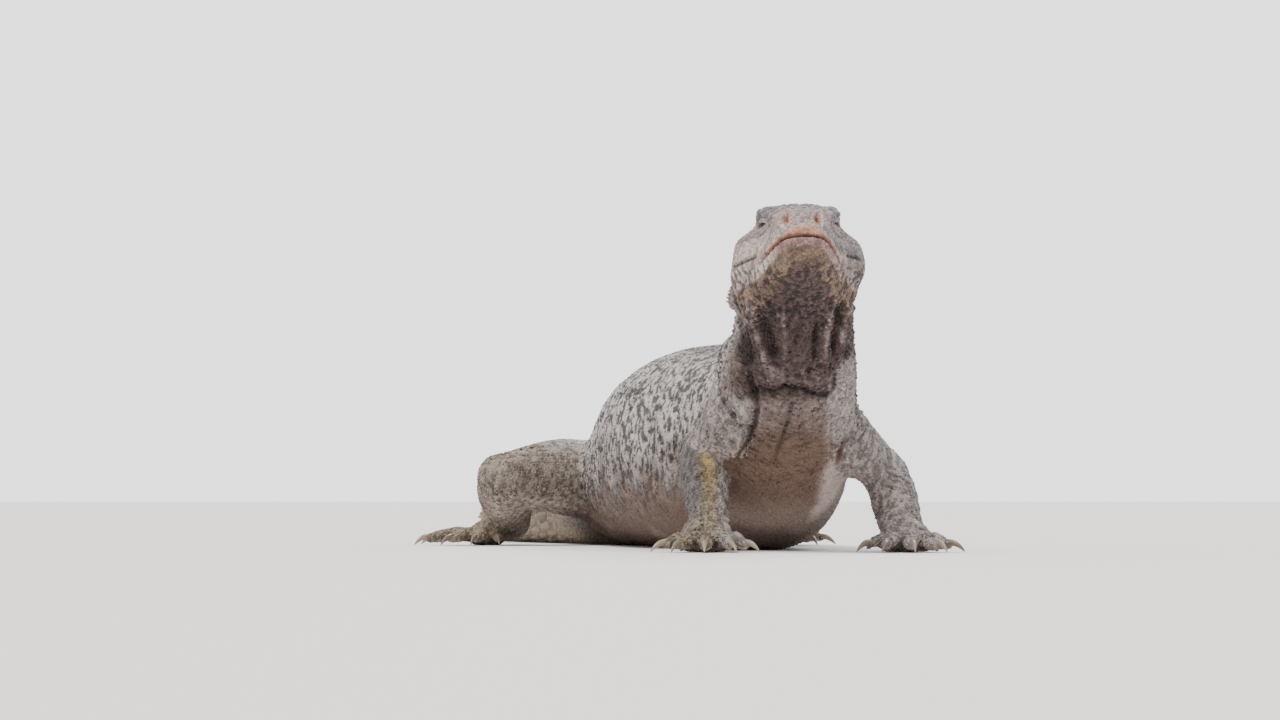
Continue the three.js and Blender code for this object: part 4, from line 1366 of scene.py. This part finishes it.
def onHeadSkin(kinds, points):
    local = toHead(points)
    x, y, z = local.T
    inMouth = (np.abs(z - mouthHeight(y)) < 0.75) & (y < 33)
    inEye = (np.hypot(y - 22.6, z - 13) < 4.2) & (np.abs(x) > 6)
    hollows = [fromEar(local, side) * 1.3 for side in (-1, 1)]
    hollows += [fromNostril(local, side) for side in (-1, 1)]
    return (kinds == headKind) & ~inMouth & ~inEye & (np.minimum.reduce(hollows) > 1.15) & (y < 64)


tailFrom = 345  # where the body's scales end and the tail's begin
limbGap = 1.4
lobules = {  # along the front of each ear, in head axes
    "count": 7,
    "left": (24, 55),  # how far out and back
    "right": (-28, 57.6),
    "top": 2.0,
    "long": 12.4,
}


def onBody(kinds, points):
    return (kinds == trunkKind) & (points[:, 1] < tailFrom)


def onTail(kinds, points):
    return (kinds == trunkKind) & (points[:, 1] >= tailFrom)


def onLimbs(kinds, points):
    return kinds > headKind


def earLobules():
    roots, ways = [], []
    for side, place in ((-1, lobules["right"]), (1, lobules["left"])):
        for share in np.linspace(0, 1, lobules["count"]):
            roots.append((*place, lobules["top"] - lobules["long"] * share))
            ways.append((side * 1.0, -0.35, 0))
    place, normals, _ = settle(fromHead(roots))
    tints = np.tile(hide["cheekLow"], (len(roots), 1))
    strewnMesh(
        "ear_lobules", spine, place, normals, np.array(ways) @ headTurn.T, (1.7, 1.6, 1.5),
        scaleMaterial, 0.12, tints,
    )


def tailSpines():
    roots, ways, sizes = [], [], []
    samples = np.linspace(trunk["tailStart"], lastRow, 400)
    run = runAlong(along(trunk["rows"], samples)[:, :3])
    lengths = np.linspace(trunk["firstWhorl"], trunk["lastWhorl"], trunk["whorls"])
    edges = np.concatenate([[0], np.cumsum(lengths)])
    edges = edges / edges[-1] * (run[-1] - 4)
    for w, (start, length) in enumerate(zip(edges, np.diff(edges))):
        t = np.interp(start + length * 0.72, run, samples)
        wide = float(along(trunk["rows"], t)[0, 3])
        count = int(round(14 + 12 * wide / 26))
        angle = (np.arange(count) + 0.5 * (w % 2)) / count * 2 * np.pi
        points = trunkPoints([t], angle[None])[0]
        _, heading, _, _ = trunkFrames([t])
        above = fade(np.sin(angle), -0.75, -0.1)
        girth = np.linalg.norm(np.diff(np.vstack([points, points[:1]]), axis=0), axis=1)
        roots.append(points)
        ways.append(np.tile(heading[0], (count, 1)))
        high = (2.2 + 0.11 * wide) * (0.35 + 0.65 * above)
        sizes.append(np.stack([girth * 0.98, length * (0.42 + 0.22 * above), high], 1))
    place, normals, _ = settle(np.vstack(roots))
    strewnMesh(
        "tail_spines", spine, place, normals, np.vstack(ways), np.vstack(sizes).T,
        scaleMaterial, 0.04,
    )


strew("body_scales_1", bead, bodyGap, onBody, 31, (1.18, 1.3, 0.55), inOrder=True)
strew("head_scales", plate, headGap, onHeadSkin, 32, (1.2, 1.25, 0.75))
limbRows = [rowsOn(grid, limbGap, 1.05) for kind, grid in forms if kind in ("lower", "palm", "digit")]
strew(
    "limb_scales", bead, evenGap(limbGap), onLimbs, 33, (1.16, 1.45, 0.55), 0.06,
    np.vstack(limbRows),
)
earLobules()
strew("tail_scales", plate, evenGap(2.0), onTail, 34, (1.1, 1.35, 0.6))
tailSpines()


def placeGrid(name, grid, material, capped=True):
    rings, sides, _ = grid.shape
    made = linkMesh(name, inFrame(grid.reshape(-1, 3)), gridFaces(rings, sides, 0, capped))
    shadeSmooth(made.data)
    made.data.materials.append(material)
    return made


# Claws

def hornMaterial():
    material, tree, shader = newMaterial("horn")
    fibre = noiseNode(tree, addNode(tree, "TexCoord").outputs["Object"], 420, 4)
    pale = mixNode(tree, "MIX", fibre, (0.2, 0.145, 0.1, 1), (0.38, 0.3, 0.22, 1))
    both = mixNode(tree, "MIX", attributeNode(tree, "tone", "Fac"), pale, (0.07, 0.05, 0.045, 1))
    setInputs(tree, shader, {"Base Color": both, "Roughness": 0.32})
    return material


horn = hornMaterial()


def makeClaws():
    for name, lines in nailLines.items():
        points, faces, tones = [], [], []
        start = 0
        for line, girth in lines:
            grid = tubeGrid(line, girth, 12, 1.15, 18, rounded=False)
            rings, sides, _ = grid.shape
            points.append(grid.reshape(-1, 3))
            faces += gridFaces(rings, sides, start)
            dark = 0.75 if rng.random() < 0.45 else 0.15
            tones.append(np.repeat(np.linspace(dark * 0.4, dark, rings), sides))
            start += rings * sides
        cloud = np.vstack(points)
        cloud[:, 2] = np.maximum(cloud[:, 2], 0.1)
        piece = linkMesh("claws_" + name, inFrame(cloud), faces)
        setValue(piece.data, "tone", np.concatenate(tones))
        shadeSmooth(piece.data)
        piece.data.materials.append(horn)
        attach(piece, "root")


makeClaws()


# Eyes and lids

def rampNode(tree, value, low, high):  # black below low, white above high
    ramp = addNode(tree, "ValToRGB", {"Fac": value})
    for stop, place, grey in zip(ramp.color_ramp.elements, (low, high), (0, 1)):
        stop.position, stop.color = place, (grey, grey, grey, 1)
    return ramp.outputs["Color"]


def eyeMaterial():
    material, tree, shader = newMaterial("eyeball")
    offAxis = attributeNode(tree, "offAxis", "Fac")
    fleck = noiseNode(tree, addNode(tree, "TexCoord").outputs["Object"], 1600, 4)
    iris = mixNode(tree, "MIX", fleck, (0.02, 0.011, 0.007, 1), (0.07, 0.04, 0.02, 1))
    seen = mixNode(tree, "MULTIPLY", 1.0, iris, rampNode(tree, offAxis, 0.30, 0.34))
    ball = mixNode(tree, "MIX", rampNode(tree, offAxis, 0.72, 0.86), seen, (0.02, 0.015, 0.015, 1))
    setInputs(tree, shader, {
        "Base Color": ball, "Roughness": 0.2, "Specular IOR Level": 0.22,
        "Coat Weight": 0.15, "Coat Roughness": 0.05,
    })
    return material


eyeball = eyeMaterial()
lidMaterial = hideMaterial("lid skin", {
    "mottle": 0.3, "grain": 1.8, "bump": 0.6, "depth": 0.0003, "shine": 0.4, "scales": False,
})
lidRows = ((0.14, 0.85), (0.33, 1.0), (0.52, 1.1), (0.7, 1.2))  # how far out on the lid, scale size


def makeEye(name, side):
    place, gaze = eyePlace(side)
    upright = unit(np.array([0, 0, 1]) - gaze[2] * gaze)
    forward = np.cross(upright, gaze)

    rings, sides = 26, 40
    polar = np.linspace(0.02, np.pi - 0.02, rings)
    bearing, spin = np.meshgrid(polar, np.arange(sides) / sides * 2 * np.pi, indexing="ij")
    bearing, spin = bearing[..., None], spin[..., None]
    radius = eye["radius"] - 0.35 + 0.25 * np.exp(-((bearing / 0.6) ** 2))
    flat = np.cos(spin) * forward + np.sin(spin) * upright
    grid = place + radius * (np.cos(bearing) * gaze + np.sin(bearing) * flat)
    ball = placeGrid("eyeball_" + name, fromHead(grid), eyeball)
    setValue(ball.data, "offAxis", np.repeat(polar / 0.95, sides))
    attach(ball, "root")
    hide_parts("eye_" + name)

    rings, sides = 22, 72
    around = np.arange(sides) / sides * 2 * np.pi
    c, s = np.cos(around), np.sin(around)
    slit = np.stack([eye["opening"] * c, eye["gap"] * s * np.abs(s) ** 0.35 - 0.25 * c], 1)
    rim = np.stack([eye["rim"][0] * c, eye["rim"][1] * s], 1)
    shares = np.linspace(0, 1, rings)
    shell = []
    for r in shares:
        flat = slit * (1 - r) + rim * r
        off = np.linalg.norm(flat, axis=1)
        lift = eye["radius"] + 0.1 + 0.6 * fade(r, 0, 0.16)
        lift = lift + 0.25 * np.sin(r * 17) * fade(r, 0.1, 0.25) * (1 - r)
        depth = np.sqrt(np.maximum(lift**2 - off**2, 0.2))
        shell.append(place + flat[:, :1] * forward + flat[:, 1:] * upright + depth[:, None] * gaze)
    shell = fromHead(np.array(shell))
    skinPlace, skinNormal, _ = settle(shell[-1])
    outer = skinPlace - skinNormal * 0.5
    blend = fade(shares, 0.45, 1.0)[:, None, None]
    shell = shell * (1 - blend) + (outer[None] + (shell - shell[-1:]) * 0.35) * blend
    lining = shell[0][None] - np.linspace(0.4, 1.4, 3)[:, None, None] * (headTurn @ gaze)
    made = placeGrid("eyelids_" + name, np.concatenate([lining[::-1], shell]), lidMaterial, capped=False)
    # painted shade on the lids' lining and inner edge, with the throat colour
    dark = 0.8 * np.repeat(np.concatenate([np.ones(3), 1 - fade(shares, 0.03, 0.2)]), sides)
    setTint(made.data, "tint", laid(np.tile(hide["brow"], (len(dark), 1)), [("throat", dark)]))
    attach(made, "root")
    return shell


lids = {name: makeEye(name, side) for name, side in (("left", 1), ("right", -1))}


def lidScales(name, shell):
    roots, normals, ways, sizes = [], [], [], []
    middle = shell.reshape(-1, 3).mean(0)
    gaze = np.array(eye["gaze"]) * (1 if name == "left" else -1, 1, 1)
    ahead = fromHead([gaze]) - headPlace
    for share, size in lidRows:
        level = share * (len(shell) - 1)
        low = int(level)
        ring = shell[low] * (1 - (level - low)) + shell[low + 1] * (level - low)
        loop = np.vstack([ring, ring[:1]])
        run = runAlong(loop)
        count = int(run[-1] / (size * 0.95))
        at = (np.arange(count) + rng.random()) / count * run[-1] % run[-1]
        points = np.stack([np.interp(at, run, loop[:, k]) for k in range(3)], 1)
        following = np.stack([np.interp((at + 0.5) % run[-1], run, loop[:, k]) for k in range(3)], 1)
        outward = unit(points - middle)
        tangent = unit(following - points)
        facing = unit(np.cross(tangent, np.cross(outward, tangent)))
        roots.append(points)
        normals.append(facing * np.sign((facing * ahead).sum(1))[:, None])
        ways.append(outward)
        sizes.append(np.full(count, size))
    roots, sizes = np.vstack(roots), np.concatenate(sizes)
    tints = np.tile(hide["brow"], (len(roots), 1)) * (1 - 0.15 * rng.random((len(roots), 1)))
    strewnMesh(
        "lid_scales_" + name, plate, roots, np.vstack(normals), np.vstack(ways),
        (sizes, sizes, sizes * 0.6), scaleMaterial, 0.1, tints,
    )


for name, shell in lids.items():
    lidScales(name, shell)


# The skin goes to the frame and stands for the flesh

skin.data.vertices.foreach_set("co", inFrame(skinPoints).astype(np.float32).ravel())
skin.data.update()
shadeSmooth(skin.data)
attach(skin, "root")
fleshNodes = ["head", "lower_jaw", "neck", "torso", "tail_base", "tail_middle", "tail_end"]
limbNodes = {"arm": ("upper_arm", "forearm", "hand"), "leg": ("thigh", "shin", "foot")}
for name in legs:
    limb, side = name.split("_")
    fleshNodes += [f"{node}_{side}" for node in limbNodes[limb]]
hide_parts(*fleshNodes)
